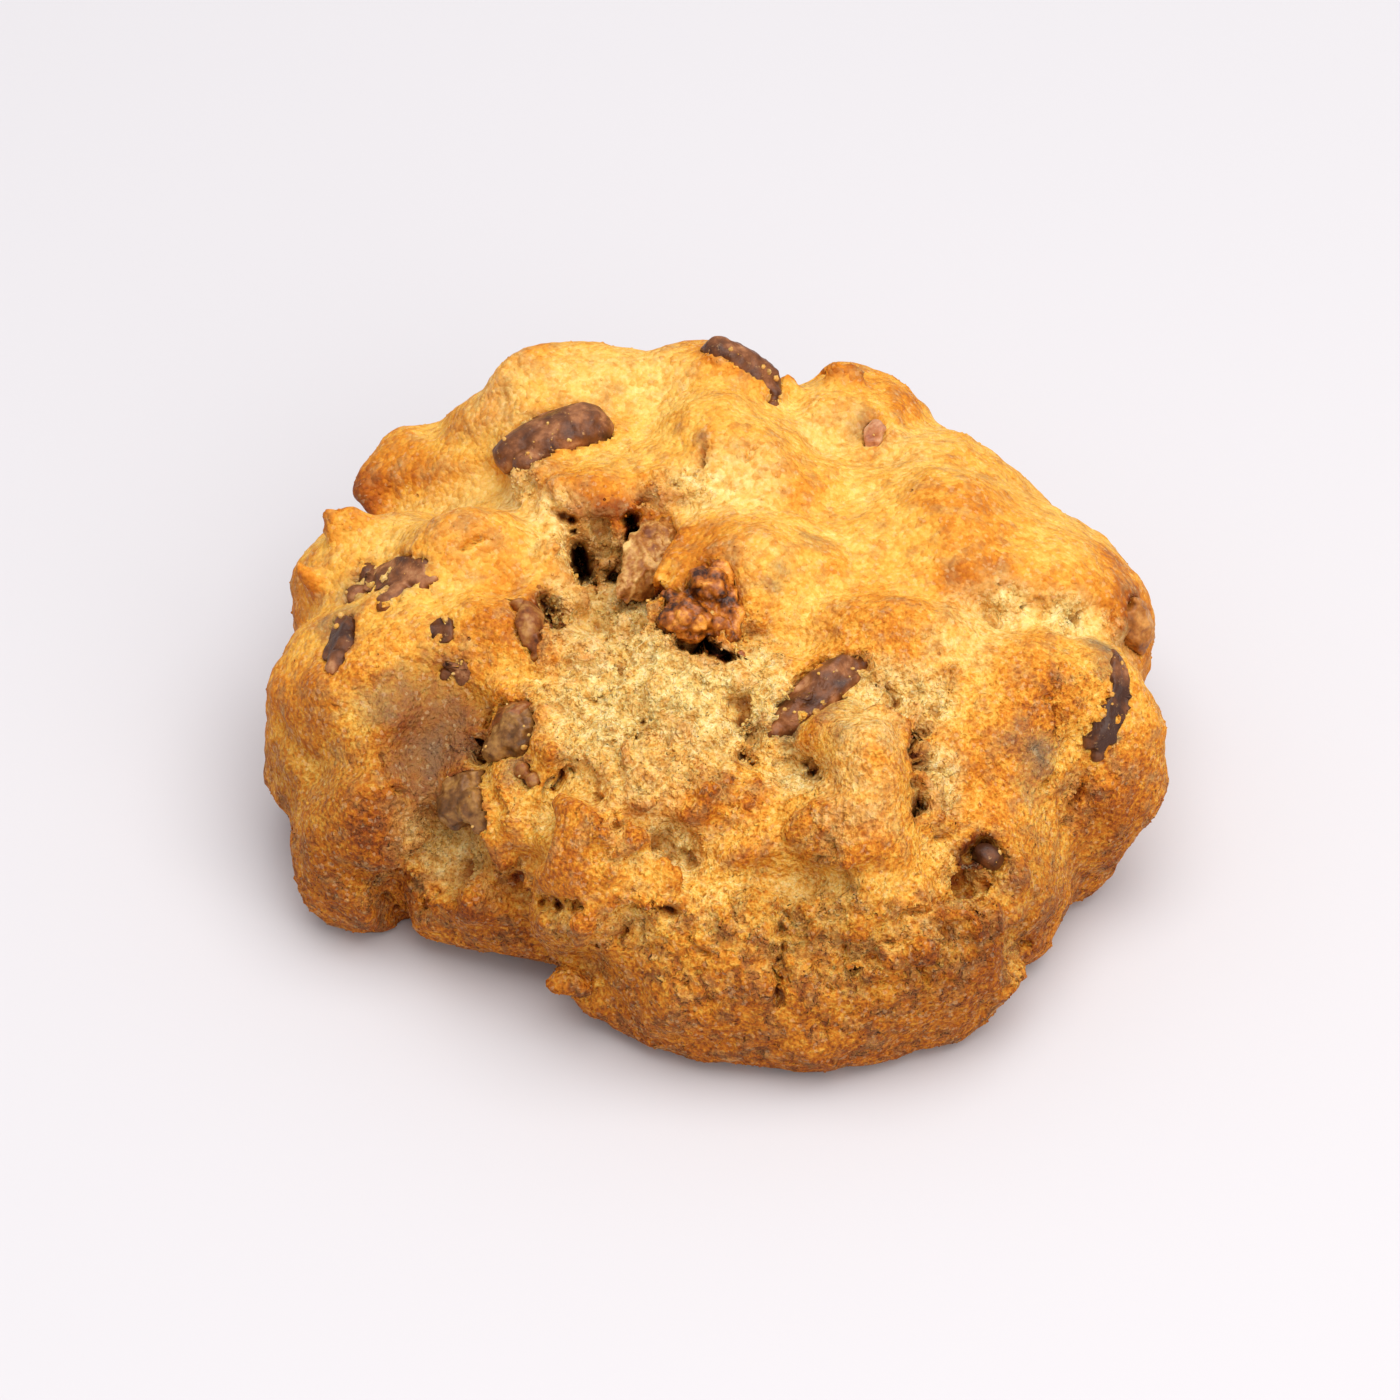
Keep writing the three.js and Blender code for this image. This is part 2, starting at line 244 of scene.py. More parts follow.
def plug(node):
    filler = copy_of_node(node, "plug")
    low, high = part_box(node)
    inwards = (HEART - (low + high) / 2).normalized()
    bpy.ops.object.mode_set(mode="EDIT")
    bpy.ops.mesh.select_all(action="SELECT")
    bpy.ops.transform.shrink_fatten(value=PLUG_GROW)
    bpy.ops.transform.translate(value=inwards * PLUG_SINK)
    bpy.ops.object.mode_set(mode="OBJECT")
    return filler


crust = copy_of_node("dough", "crust")
baked_in = [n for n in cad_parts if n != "dough"]
join_into(crust, [plug(n) for n in baked_in if n not in STANDING_FREE])
apply_modifier(crust, "REMESH", mode="VOXEL", voxel_size=SKIN_CELL, adaptivity=0)
apply_modifier(crust, "SMOOTH", factor=0.5, iterations=6)
print("crust corners:", len(crust.data.vertices))


# %% Corners as numbers
def corners(piece):
    flat = np.empty(len(piece.data.vertices) * 3)
    piece.data.vertices.foreach_get("co", flat)
    return flat.reshape(-1, 3)


def set_corners(piece, places):
    piece.data.vertices.foreach_set("co", places.ravel())
    piece.data.update()


def corner_normals(piece):
    flat = np.empty(len(piece.data.vertices) * 3)
    piece.data.vertex_normals.foreach_get("vector", flat)
    return flat.reshape(-1, 3)


def skin_tree(piece):
    return BVHTree.FromObject(piece, bpy.context.evaluated_depsgraph_get())


# %% [markdown]
# ## Creases and tears
# Seen close, the cookie's lobes meet in soft creases, and where the inside burst through there are
# dark tears with ragged edges. A sculptor would draw them with a brush. Here each stroke is a line
# of pixels of the picture, with a width and a depth in millimetres: it is laid on the skin along
# the sight lines, and every corner near it moves in along the skin's normal. Noise varies the width
# and depth, because dough never tears straight.

# %% Waves and grains
def waves(places, size, octaves=3):
    """Smooth unevenness from -1 to 1, with waves of about that size."""
    return np.array([noise.fractal(p, 1.0, 2.0, octaves) for p in (places / size).tolist()])


def grains(places, size):
    """How far each place is from its own grain's middle, and from the next one's, in grains."""
    return np.array([noise.voronoi(p)[0][:2] for p in (places / size).tolist()])


def plates(places, size):
    """Broken plates of about that size: how near each place is to its plate's edge, in plates, and
    the plate's own height from -1 to 1."""
    found = [noise.voronoi(p) for p in (places / size).tolist()]
    heights = [noise.cell(points[0] * 7.3) for _, points in found]
    return np.array([away[1] - away[0] for away, _ in found]), np.array(heights)


# %% A stroke on the skin
STROKE_STEP_PX = 3.0
NARROWEST = 0.1 * MM


def stroke_line(tree, pixels):
    """Places and normals along a line of pixels, close enough together to act as a line."""
    stops = [Vector(pixels[i:i + 2]) for i in range(0, len(pixels), 2)]
    places, normals = [], []
    for start, end in zip(stops, stops[1:] or stops):
        steps = max(1, round((end - start).length / STROKE_STEP_PX))
        for i in range(steps + 1):
            here = start.lerp(end, i / steps)
            place, normal = on_skin(tree, here.x, here.y)
            if place is not None:
                places.append(place)
                normals.append(normal)
    return np.array(places), np.array(normals)


def near_line(places, line):
    """For each place its distance from the line, and which of the line's stops is nearest."""
    tree = kdtree.KDTree(len(line))
    for i, stop in enumerate(line.tolist()):
        tree.insert(stop, i)
    tree.balance()
    found = [tree.find(p)[1:] for p in places.tolist()]
    return np.array([f[1] for f in found]), np.array([f[0] for f in found])


def carve(places, tree, width, depth, ragged, pixels):
    """Moves in what lies within the stroke's half width. Width and depth are in millimetres, and a
    negative depth raises a ridge."""
    line, normals = stroke_line(tree, pixels)
    reach = width * MM
    low, high = line.min(0) - reach, line.max(0) + reach
    inside = np.nonzero(((places > low) & (places < high)).all(1))[0]
    if len(inside) == 0:
        return
    near = places[inside]
    away, stop = near_line(near, line)
    unevenness = waves(near + 7 * MM, 1.6 * MM, 2)
    half = reach / 2 * (1 + ragged * unevenness)
    share = np.clip(1 - (away / np.maximum(half, NARROWEST)) ** 2, 0, 1) ** 1.5
    push = depth * MM * share * (1 + 0.5 * ragged * waves(near, 2.3 * MM, 2))
    places[inside] = near - normals[stop] * push[:, None]


# %% Patches of a feature
def painted(places, tree, patches):
    """From 0 to 1, how much of the painted patches each place has."""
    total = np.zeros(len(places))
    for px, py, radius, strength in patches:
        middle, _ = on_skin(tree, px, py)
        if middle is not None:
            away = np.linalg.norm(places - np.array(middle), axis=1) / (radius * MM)
            total = np.maximum(total, strength * np.clip(1.6 - 1.6 * away, 0, 1))
    return total


# %% The strokes
# Width and depth in millimetres, then the pixels the stroke runs through.
CREASES = [
    # between the back mass and the left shoulder
    (7, 1.6, (385, 503, 425, 497, 468, 481, 505, 484, 535, 500)),
    (6, 0.9, (438, 428, 470, 452, 500, 482)),
    (5, 0.7, (497, 395, 486, 418, 484, 436)),
    # down the left shoulder to the valley
    (7, 1.3, (418, 655, 396, 676, 368, 706)),
    (11, 2.4, (440, 695, 426, 750, 432, 812, 462, 850)),
    (6, 1.6, (468, 866, 500, 896, 536, 902)),
    # round the front knob and along the groove above the front wall
    (4, 2.2, (574, 768, 556, 780, 545, 806, 536, 850, 520, 874)),
    (4.5, 2.6, (574, 770, 598, 794, 624, 815, 654, 828, 682, 862)),
    (5, 1.6, (682, 862, 716, 876, 756, 880)),
    (5, 2.4, (756, 880, 780, 878, 806, 880, 846, 887, 884, 884)),
    (5, 1.0, (884, 881, 930, 890, 975, 888)),
    # under the ridge and round the middle crumb
    (5, 1.6, (752, 632, 776, 641, 800, 644, 822, 637)),
    (5, 1.3, (745, 700, 775, 696, 800, 680)),
    (4, 1.0, (648, 655, 690, 655, 712, 668)),
    # on the back
    (9, 1.6, (830, 440, 852, 436, 868, 452)),
    (5, 1.3, (800, 378, 818, 371, 836, 367)),
    # across the right shoulder, and down its side
    (8, 1.2, (945, 592, 965, 600, 990, 604)),
    (5, 1.0, (990, 604, 1030, 608, 1070, 616, 1100, 630)),
    (5, 1.8, (1100, 625, 1118, 640, 1138, 648)),
    (5, 0.9, (1074, 745, 1084, 780, 1076, 806, 1096, 826)),
    # the right foot, the left foot and the ledge
    (5, 1.0, (965, 930, 998, 940, 1024, 944, 1062, 926)),
    (6, 1.0, (1095, 850, 1080, 868, 1092, 888)),
    (4, 1.2, (272, 726, 296, 752, 318, 772)),
    (5, 1.1, (345, 876, 380, 892, 405, 910)),
    (5, 1.0, (405, 910, 428, 897, 452, 878)),
    (6, 1.0, (590, 960, 588, 985)),
    (5, 1.2, (600, 942, 624, 934, 634, 916)),
    # right of the tongue, across the left shoulder, and the notch beside the foot
    (7, 1.1, (930, 640, 935, 672, 930, 700)),
    (6, 0.9, (436, 600, 470, 596, 505, 584)),
    (5, 4.5, (392, 892, 392, 945)),
    # beside the left nuts and in the middle crumb
    (3.5, 1.6, (480, 700, 484, 730, 478, 765, 486, 800, 490, 832)),
    (5, 1.2, (600, 640, 618, 668, 640, 700)),
    (6, 1.3, (735, 700, 756, 745, 790, 765, 822, 790)),
]
RIDGES = [
    (4.0, -0.8, (560, 800, 590, 806, 620, 822)),
    (4.0, -0.9, (680, 640, 720, 700, 735, 690)),
    (9.0, -1.1, (664, 782, 710, 800, 760, 815, 800, 822)),
    (4.0, -0.8, (640, 760, 700, 780, 760, 790)),
    (4.0, -0.8, (770, 655, 800, 655, 828, 644)),
    (3.6, -1.0, (802, 744, 826, 720, 850, 697, 872, 680)),
]
TEARS = [
    # the middle crumb
    (1.5, 1.8, (742, 718, 748, 732, 752, 744, 758, 756)),
    (1.2, 1.8, (764, 762, 772, 764, 780, 759)),
    (1.4, 2.4, (808, 762, 812, 774, 816, 782)),
    # the deep crack right of the tongue
    (2.6, 4.2, (923, 732, 917, 745, 914, 756, 917, 770, 915, 785, 919, 800, 918, 815)),
    (1.1, 1.6, (918, 815, 924, 828, 932, 836)),
    (0.9, 1.4, (866, 666, 884, 683, 893, 698, 897, 716, 905, 728, 912, 738)),
    (1.0, 1.6, (934, 690, 944, 688, 950, 670, 956, 664)),
    # the crown
    (1.0, 1.8, (704, 446, 700, 458, 703, 470)),
    (0.9, 1.5, (752, 447, 748, 456, 743, 460)),
    # the middle crumb again
    (1.0, 1.2, (644, 704, 650, 714, 642, 722, 637, 732, 634, 742)),
    (0.9, 1.2, (622, 670, 628, 682, 636, 694)),
    (1.2, 2.0, (713, 664, 711, 682)),
    # left of the front knob and below it
    (1.3, 2.4, (553, 778, 546, 790, 541, 804)),
    (1.5, 3.0, (540, 901, 556, 903, 576, 906, 584, 911)),
    # the front wall
    (1.4, 2.4, (778, 903, 783, 925, 785, 942, 781, 962, 779, 984, 778, 1004)),
    (1.5, 2.0, (777, 966, 783, 974, 779, 988)),
    (1.4, 2.2, (926, 948, 921, 962, 924, 972, 930, 984)),
    (1.1, 1.8, (847, 944, 846, 960, 852, 974, 858, 969)),
    (0.9, 1.3, (824, 980, 831, 992)),
    (1.3, 1.8, (992, 880, 984, 888, 980, 906, 978, 920, 968, 930)),
    (1.1, 1.6, (998, 938, 1014, 944, 1030, 944)),
    (1.0, 1.5, (618, 900, 634, 892)),
    (1.5, 2.2, (634, 906, 650, 902, 662, 910, 676, 912)),
    (1.2, 1.6, (598, 944, 616, 941, 628, 928, 632, 918)),
    (1.0, 1.2, (688, 938, 694, 950, 706, 955)),
    (1.0, 1.2, (684, 988, 692, 974, 706, 970)),
    (1.2, 1.6, (870, 916, 880, 906, 892, 905)),
    (1.2, 1.8, (900, 926, 906, 914, 924, 910, 940, 900, 958, 894, 976, 896)),
    # the right shoulder
    (1.2, 1.6, (1020, 612, 1028, 607)),
    (1.0, 1.5, (1038, 601, 1054, 602, 1068, 600)),
    (1.2, 1.8, (1060, 621, 1076, 618, 1084, 612)),
    (1.0, 1.4, (1000, 588, 1006, 600)),
    (1.0, 1.4, (1055, 680, 1058, 694)),
    (1.0, 1.3, (1046, 697, 1054, 698)),
    (1.0, 1.5, (1056, 708, 1061, 724, 1055, 736)),
    (1.1, 1.5, (1044, 788, 1052, 780, 1056, 776)),
    (1.3, 1.8, (1074, 806, 1080, 796, 1086, 782)),
    (1.0, 1.3, (1062, 828, 1070, 820)),
    # the left foot and the ledge
    (1.0, 1.4, (383, 754, 388, 768, 392, 782, 400, 792)),
    (1.1, 1.7, (405, 793, 409, 806)),
    (1.4, 2.0, (358, 882, 372, 888, 384, 890, 392, 900, 404, 906)),
    (1.2, 1.7, (416, 912, 424, 904, 432, 896)),
    (1.1, 1.6, (430, 886, 442, 880, 458, 876, 464, 882)),
    (1.0, 1.4, (508, 890, 500, 884, 496, 874)),
    # the knob, the golden band and the tongue
    (1.0, 1.3, (600, 822, 618, 818)),
    (1.0, 1.3, (805, 790, 806, 808, 812, 824, 816, 836)),
    (0.9, 1.2, (830, 832, 828, 850, 832, 858)),
    (0.9, 1.1, (664, 802, 672, 788, 680, 782)),
    (1.0, 1.4, (596, 796, 618, 812)),
    # round the lip and on the left shoulder
    (1.3, 2.0, (640, 500, 652, 492)),
    (1.0, 1.4, (668, 468, 674, 474)),
    (0.9, 1.2, (463, 549, 472, 544, 482, 538)),
    (0.9, 1.1, (400, 556, 408, 560)),
    (0.8, 1.0, (386, 646, 392, 656)),
    (0.9, 1.2, (950, 850, 958, 856)),
    (1.0, 1.2, (936, 836, 944, 832)),
    # the right foot
    (1.0, 1.3, (1010, 960, 1014, 972, 1018, 984)),
    (0.9, 1.1, (984, 946, 990, 962)),
    # beside the nuts and the chocolate
    (1.2, 1.8, (776, 700, 790, 690, 806, 672, 820, 660)),
    (2.6, 4.5, (676, 643, 700, 641, 716, 652, 733, 661)),
    (2.0, 3.0, (655, 588, 664, 594, 672, 590)),
    (2.2, 3.0, (488, 722, 494, 712, 499, 702)),
    (2.4, 4.0, (466, 742, 478, 748, 484, 762)),
    (1.6, 2.6, (572, 770, 562, 776, 556, 790)),
    (1.5, 1.6, (832, 368, 818, 372, 803, 380)),
]
SOFT_EDGE = 0.15
form = skin_tree(crust)
skin = corners(crust)
for width, depth, pixels in CREASES + RIDGES:
    carve(skin, form, width, depth, SOFT_EDGE, pixels)
print("creases and ridges:", len(CREASES) + len(RIDGES))

# %% [markdown]
# ## The open hollow
# Under the lip the dough burst open down to its middle, and two nuts and a block of crumb stand in
# the hole. A stroke along the normals can't make that, because the walls would run into each other.
# What matters is which thing the eye sees behind which. So each spot is pushed back along its own
# sight line to the distance that it should have, and the walls between near and far spots come
# by themselves, at the places where the picture has them.

# %% Pushed back along the sight lines
# Pixel, radius in pixels, and how many millimetres behind a sphere of 540 mm round the camera.
NEAR = 540 * MM
AROUND_HOLLOW = (510, 485, 750, 680)  # pixels: left, top, right, bottom
HOLLOW = [
    (603, 542, 34, 18.0), (612, 564, 20, 15.6), (592, 556, 16, 17.4), (606, 524, 14, 20.5),
    (620, 546, 14, 16.6), (548, 556, 20, 10.6), (556, 540, 16, 12.4), (562, 560, 13, 11.0),
    (566, 575, 12, 10.4), (552, 575, 14, 9.6), (565, 596, 26, 9.8), (582, 604, 17, 10.4),
    (552, 590, 14, 9.0), (558, 514, 8, 20.5), (568, 519, 9, 21.5), (576, 527, 8, 21.5),
    (589, 521, 6, 20.5), (575, 538, 7, 22.5), (602, 526, 7, 22.5), (616, 524, 7, 22.5),
    (581, 560, 14, 29.0), (580, 548, 10, 28.0), (584, 574, 11, 29.0), (590, 580, 8, 26.0),
    (632, 519, 8, 23.0), (634, 530, 7, 22.0), (629, 538, 6, 21.0), (640, 512, 6, 21.5),
    (648, 506, 5, 20.0), (613, 577, 7, 20.5), (606, 576, 5, 19.0), (545, 604, 9, 14.0),
    (550, 614, 10, 13.5), (558, 624, 9, 12.0), (541, 597, 7, 12.5), (650, 596, 8, 12.5),
    (658, 592, 8, 13.0), (668, 578, 9, 10.5), (682, 640, 11, 9.0), (694, 642, 9, 9.5),
    (672, 638, 7, 7.5), (712, 650, 12, 7.5), (730, 655, 9, 6.0),
]


def in_picture(places):
    """The pixel that each place is seen at, and its distance from the camera."""
    off = places - np.array(camera.location)
    ahead = -off @ np.array(BACK)
    across = off @ np.array(RIGHT) / ahead
    up = off @ np.array(UP) / ahead
    zoom = camera.data.lens / SENSOR * PICTURE
    return PICTURE / 2 + across * zoom, PICTURE / 2 - up * zoom, np.linalg.norm(off, axis=1)


def seen(places, tree, inside):
    """Whether nothing stands before each of the chosen places."""
    eye = camera.location
    clear = []
    for place in places[inside].tolist():
        sight = Vector(place) - eye
        _, _, _, away = tree.ray_cast(eye, sight.normalized())
        clear.append(away is not None and away > sight.length - 1.0 * MM)
    return np.array(clear)


def sink_behind(places, tree, spots):
    """Moves what is seen at each spot along its sight line to the spot's distance."""
    left, top, right, bottom = AROUND_HOLLOW
    px, py, away = in_picture(places)
    inside = np.nonzero((px > left) & (px < right) & (py > top) & (py < bottom))[0]
    inside = inside[seen(places, tree, inside)]
    before = away[inside].copy()
    after = before.copy()
    for x, y, radius, behind in spots:
        share = np.clip(1.5 - 1.5 * np.hypot(px[inside] - x, py[inside] - y) / radius, 0, 1)
        share = share * share * (3 - 2 * share)
        after += share * (NEAR + behind * MM - after)
    sights = (places[inside] - np.array(camera.location)) / before[:, None]
    places[inside] += sights * (after - before)[:, None]
    return round(float((after - before).max()) / MM, 1)


def dig(places, spots):
    """Moves what is near each spot away from the camera: pixel, radius in pixels, millimetres."""
    px, py, _ = in_picture(places)
    sights = places - np.array(camera.location)
    sights /= np.linalg.norm(sights, axis=1)[:, None]
    facing = (corner_normals(crust) * sights).sum(1) < 0.2
    deeper = np.zeros(len(places))
    for x, y, radius, depth in spots:
        share = np.clip(1.4 - 1.4 * np.hypot(px - x, py - y) / radius, 0, 1)
        deeper = np.maximum(deeper, share * depth * MM)
    places += sights * (deeper * facing)[:, None]


print("furthest moved in the hollow, mm:", sink_behind(skin, form, HOLLOW))

# %% [markdown]
# ## The foot
# Dough draws in a little where it meets the tray, and at the front left a thin ledge spread over the
# tray without touching it, with dark shade beneath. Everything low is moved towards the middle, the
# lowest the most.

# %% Tucked in at the tray
# Ledge: pixel, radius in millimetres, share.
TUCK_HEIGHT = 3.5 * MM
TUCK = 2.2 * MM
LEDGE = [
    (430, 950, 6, 1.0), (470, 955, 7, 1.0), (515, 965, 7, 1.0), (560, 980, 6, 0.9), (392, 938, 4, 1.0),
]
LEDGE_TUCK = 8 * MM
LEDGE_HEIGHT = 5 * MM
outwards = skin * (1, 1, 0)
outwards /= np.maximum(np.linalg.norm(outwards, axis=1), 1e-6)[:, None]
lifted = painted(skin, form, LEDGE)
tucked = TUCK * np.clip(1 - skin[:, 2] / TUCK_HEIGHT, 0, 1) ** 2
tucked += LEDGE_TUCK * lifted * np.clip(1 - skin[:, 2] / LEDGE_HEIGHT, 0, 1) ** 2
skin -= outwards * tucked[:, None]
set_corners(crust, skin)


# %% [markdown]
# ## Chocolate and walnut
# The chunks of chocolate melted and set again, so they are soft slabs with a dull gloss. Walnut
# kernels are wrinkled like a brain, and two of them caramelised in the open hollow. Each starts as
# a merged copy of its node, so it lies where the frame has it. Where the picture shows more of a
# piece than one smooth lump, balls are added by their pixels; then Remesh grows it into one body.
# Noise gives the melt its waves and the kernel its wrinkles, and the darkest kernel, which sugar
# glued together from broken bits, gets plates with gaps between them in place of folds.

# %% Pieces baked into the dough
PIECE_CELL = 0.24 * MM
# More lumps of a piece: pixel, radius in millimetres, and how far it is sunk below the skin there.
EXTRA_LUMPS = {
    "chocolate_back_left": ((562, 430, 2.6, 1.7), (592, 420, 2.6, 1.8), (528, 456, 1.9, 1.3),
        (605, 424, 1.8, 1.3), (545, 442, 2.3, 1.5), (578, 428, 2.6, 1.8)),
    "chocolate_top": ((735, 352, 1.2, 0.8), (778, 392, 1.0, 0.7), (775, 404, 0.8, 0.5)),
    "chocolate_middle": ((860, 666, 1.1, 0.9), (775, 735, 1.0, 0.9)),
    "chocolate_left_upper": ((395, 588, 1.6, 1.4), (416, 578, 1.5, 1.3), (352, 590, 1.4, 1.2),
        (370, 578, 1.6, 1.4), (384, 596, 1.4, 1.2), (430, 580, 1.0, 0.9)),
    "chocolate_left_lower": ((340, 620, 1.3, 1.1), (338, 640, 1.6, 1.3), (332, 655, 1.4, 1.2),
        (328, 664, 1.0, 0.9)),
    "chocolate_right": ((1108, 705, 0.9, 0.9), (1113, 740, 1.0, 0.9), (1110, 722, 0.9, 0.9),
        (1100, 757, 0.8, 0.7)),
    "chocolate_spot_upper": ((441, 628, 0.9, 0.6),),
    "chocolate_spot_lower": ((446, 676, 0.9, 0.6),),
    "walnut_dark": ((668, 598, 1.2, 0.4), (684, 604, 1.3, 0.1), (700, 600, 1.3, -0.1),
        (714, 604, 1.4, 0.0), (727, 606, 1.3, 0.1), (737, 612, 1.1, 0.3), (655, 608, 0.9, 0.4),
        (662, 618, 1.2, 0.3), (674, 624, 1.2, 0.2), (688, 622, 1.2, 0.2), (702, 618, 1.2, 0.1),
        (716, 622, 1.3, 0.1), (730, 624, 1.1, 0.3), (698, 582, 1.0, 0.2), (708, 572, 1.0, 0.1),
        (720, 570, 1.1, 0.1), (729, 578, 1.1, 0.2), (722, 588, 1.1, 0.0), (706, 588, 0.9, 0.2),
        (733, 592, 1.0, 0.3), (715, 636, 1.1, 0.6), (728, 640, 1.0, 0.8), (738, 632, 0.9, 0.6),
        (740, 650, 0.8, 0.8), (679, 614, 0.9, -0.4), (708, 609, 0.9, -0.6), (650, 628, 0.7, 0.3)),
    "walnut_pale": ((668, 527, 1.3, 0.3), (633, 595, 1.4, 0.7), (645, 570, 1.5, 0.2)),
    "walnut_left_middle": ((502, 738, 2.2, 1.2), (517, 714, 2.0, 1.1), (494, 748, 1.5, 0.9),
        (514, 742, 2.0, 1.2), (508, 722, 1.8, 1.1)),
    "walnut_left_lower": ((459, 780, 2.2, 1.4), (464, 804, 2.1, 1.4), (472, 822, 1.4, 1.0),
        (455, 795, 1.5, 1.0)),
    "walnut_left_upper": ((520, 602, 1.0, 0.5), (534, 640, 1.2, 0.5), (538, 655, 0.9, 0.5),
        (528, 620, 1.0, 0.6)),
    "walnut_rim": ((520, 768, 1.0, 0.6), (530, 780, 0.9, 0.6)),
    "walnut_back": ((878, 428, 0.9, 0.5), (870, 442, 0.8, 0.5)),
}
# Size and depth of the folds, then of finer ones, in millimetres.
WRINKLES = {
    "chocolate": (3.2, 0.2, 0.9, 0.05), "walnut": (2.0, 0.25, 0.8, 0.1),
    "walnut_dark": (2.7, 0.42, 0.8, 0.14), "walnut_pale": (1.5, 0.4, 0.6, 0.12),
}
# How far a piece stands out of the skin, in millimetres. What is higher is pressed flat.
STANDS_OUT = {
    "chocolate_back_left": 0.7, "chocolate_middle": 0.5, "chocolate_right": 0.0, "chocolate_left_upper": 0.1,
    "chocolate_left_lower": 0.12, "chocolate_spot_upper": 0.02, "chocolate_spot_lower": 0.02,
}
UNPRESSED = 50  # more than anything stands out
# Kernels broke into flat faces: how many, and how much of the lump's half width is left.
FACETS = {
    "walnut_left_middle": 6, "walnut_left_lower": 5, "walnut_pale": 5, "walnut_back": 3,
    "walnut_left_upper": 3,
}
FACET_AT = 0.72
BROKEN_UP = ("walnut_dark",)  # caramelised clots with deep gaps between them, not folds


def ball(place, radius):
    deselect_all()
    bpy.ops.mesh.primitive_ico_sphere_add(subdivisions=2, radius=radius, location=place)
    bpy.ops.object.transform_apply(location=True)
    return bpy.context.object


def pressed_flat(places, tree, most):
    """Presses what stands more than that many millimetres out of the skin down to it."""
    for i, place in enumerate(places.tolist()):
        nearest, normal, _, _ = tree.find_nearest(place)
        out = (Vector(place) - nearest).dot(normal) - most * MM
        if out > 0:
            places[i] -= np.array(normal) * out
    return places


def faceted(places, count):
    """Cuts that many flat faces on the side that the camera sees."""
    middle = places.mean(0)
    for _ in range(count):
        way = np.array((BACK * 1.1 + Vector([random.gauss(0, 0.6) for _ in range(3)])).normalized())
        out = (places - middle) @ way
        over = np.maximum(out - FACET_AT * out.max(), 0)
        places = places - way * (0.85 * over)[:, None]
    return places


def baked_in_piece(node, tree):
    piece = copy_of_node(node, node + "_piece")
    balls = []
    for px, py, radius, sink in EXTRA_LUMPS.get(node, ()):
        middle, normal = on_skin(tree, px, py)
        balls.append(ball(middle - normal * sink * MM, radius * MM))
    if balls:
        join_into(piece, balls)
    apply_modifier(piece, "REMESH", mode="VOXEL", voxel_size=PIECE_CELL, adaptivity=0)
    apply_modifier(piece, "SMOOTH", factor=0.5, iterations=5)
    places, normals = corners(piece), corner_normals(piece)
    places = pressed_flat(places, tree, STANDS_OUT.get(node, UNPRESSED))
    places = faceted(places, FACETS.get(node, 0))
    size, depth, fine_size, fine_depth = WRINKLES.get(node, WRINKLES[node.split("_")[0]])
    folds = 0.5 - 2 * np.abs(waves(places, size * MM, 2))
    if node in BROKEN_UP:
        edge, height = plates(places + 0.4 * MM * folds[:, None], size * MM)
        folds = 0.7 * height - 0.9 * np.clip(1 - edge / 0.25, 0, 1)
    push = (depth * folds + fine_depth * waves(places, fine_size * MM, 2)) * MM
    set_corners(piece, places + normals * push[:, None])
    make_active(piece)
    bpy.ops.object.shade_smooth()
    return piece


whole = skin_tree(crust)
pieces = {node: baked_in_piece(node, whole) for node in baked_in}
print("piece triangles:", {n: len(p.data.polygons) * 2 for n, p in pieces.items()})


# %% Crust cleared off the pieces
# How deep the crust over a piece is cleared, in millimetres, and the noise above which it stays on.
CLEARED = {
    "walnut_pale": (1.0, 0.6), "walnut_dark": (1.4, 0.7), "chocolate_left_upper": (2.0, -0.02),
    "chocolate_left_lower": (3.5, 0.8), "chocolate_spot_upper": (2.0, 0.3),
    "chocolate_spot_lower": (2.0, 0.3), "chocolate_middle": (2.0, 0.5), "chocolate_right": (0.5, 0.15),
}
USUAL_CLEARING = (3.5, 0.6)
# Where the crust lies on over a piece's edge: pixel, radius in millimetres, share.
COVERED = [
    (800, 744, 2.2, 1), (814, 730, 2.2, 1), (828, 716, 2.2, 1), (842, 703, 2.2, 1), (856, 692, 2.2, 1),
    (868, 682, 2.0, 1),
]


JUST_ABOVE, JUST_UNDER = 0.2, 0.35  # millimetres


def clear_off(places, node, piece):
    """Sinks the crust that lies over a piece to just under the piece's own surface."""
    tree = skin_tree(piece)
    own = corners(piece)
    outwards = ((Vector(own.mean(0)) - HEART).normalized() + BACK).normalized()
    depth, cling = CLEARED.get(node, USUAL_CLEARING)
    low, high = own.min(0) - depth * MM, own.max(0) + depth * MM
    covered = painted(places, whole, COVERED) > 0.5
    for i in np.nonzero(((places > low) & (places < high)).all(1) & ~covered)[0]:
        here = Vector(places[i])
        met = tree.ray_cast(here + outwards * JUST_ABOVE * MM, -outwards, depth * MM)[0]
        if met is not None and noise.noise(here / (1.1 * MM)) < cling:
            places[i] = met - outwards * JUST_UNDER * MM


# %% [markdown]
# ## The torn crumb
# Where the crust has torn, the inside shows as loose crumb: little lumps of one to three
# millimetres, stuck to each other, with dark gaps between them. Moving corners along the normal
# can't make gaps that go behind a lump. So one lump is modelled, copied over the torn places, and
# joined to the crust, and a second Remesh grows all of it together as the oven did.

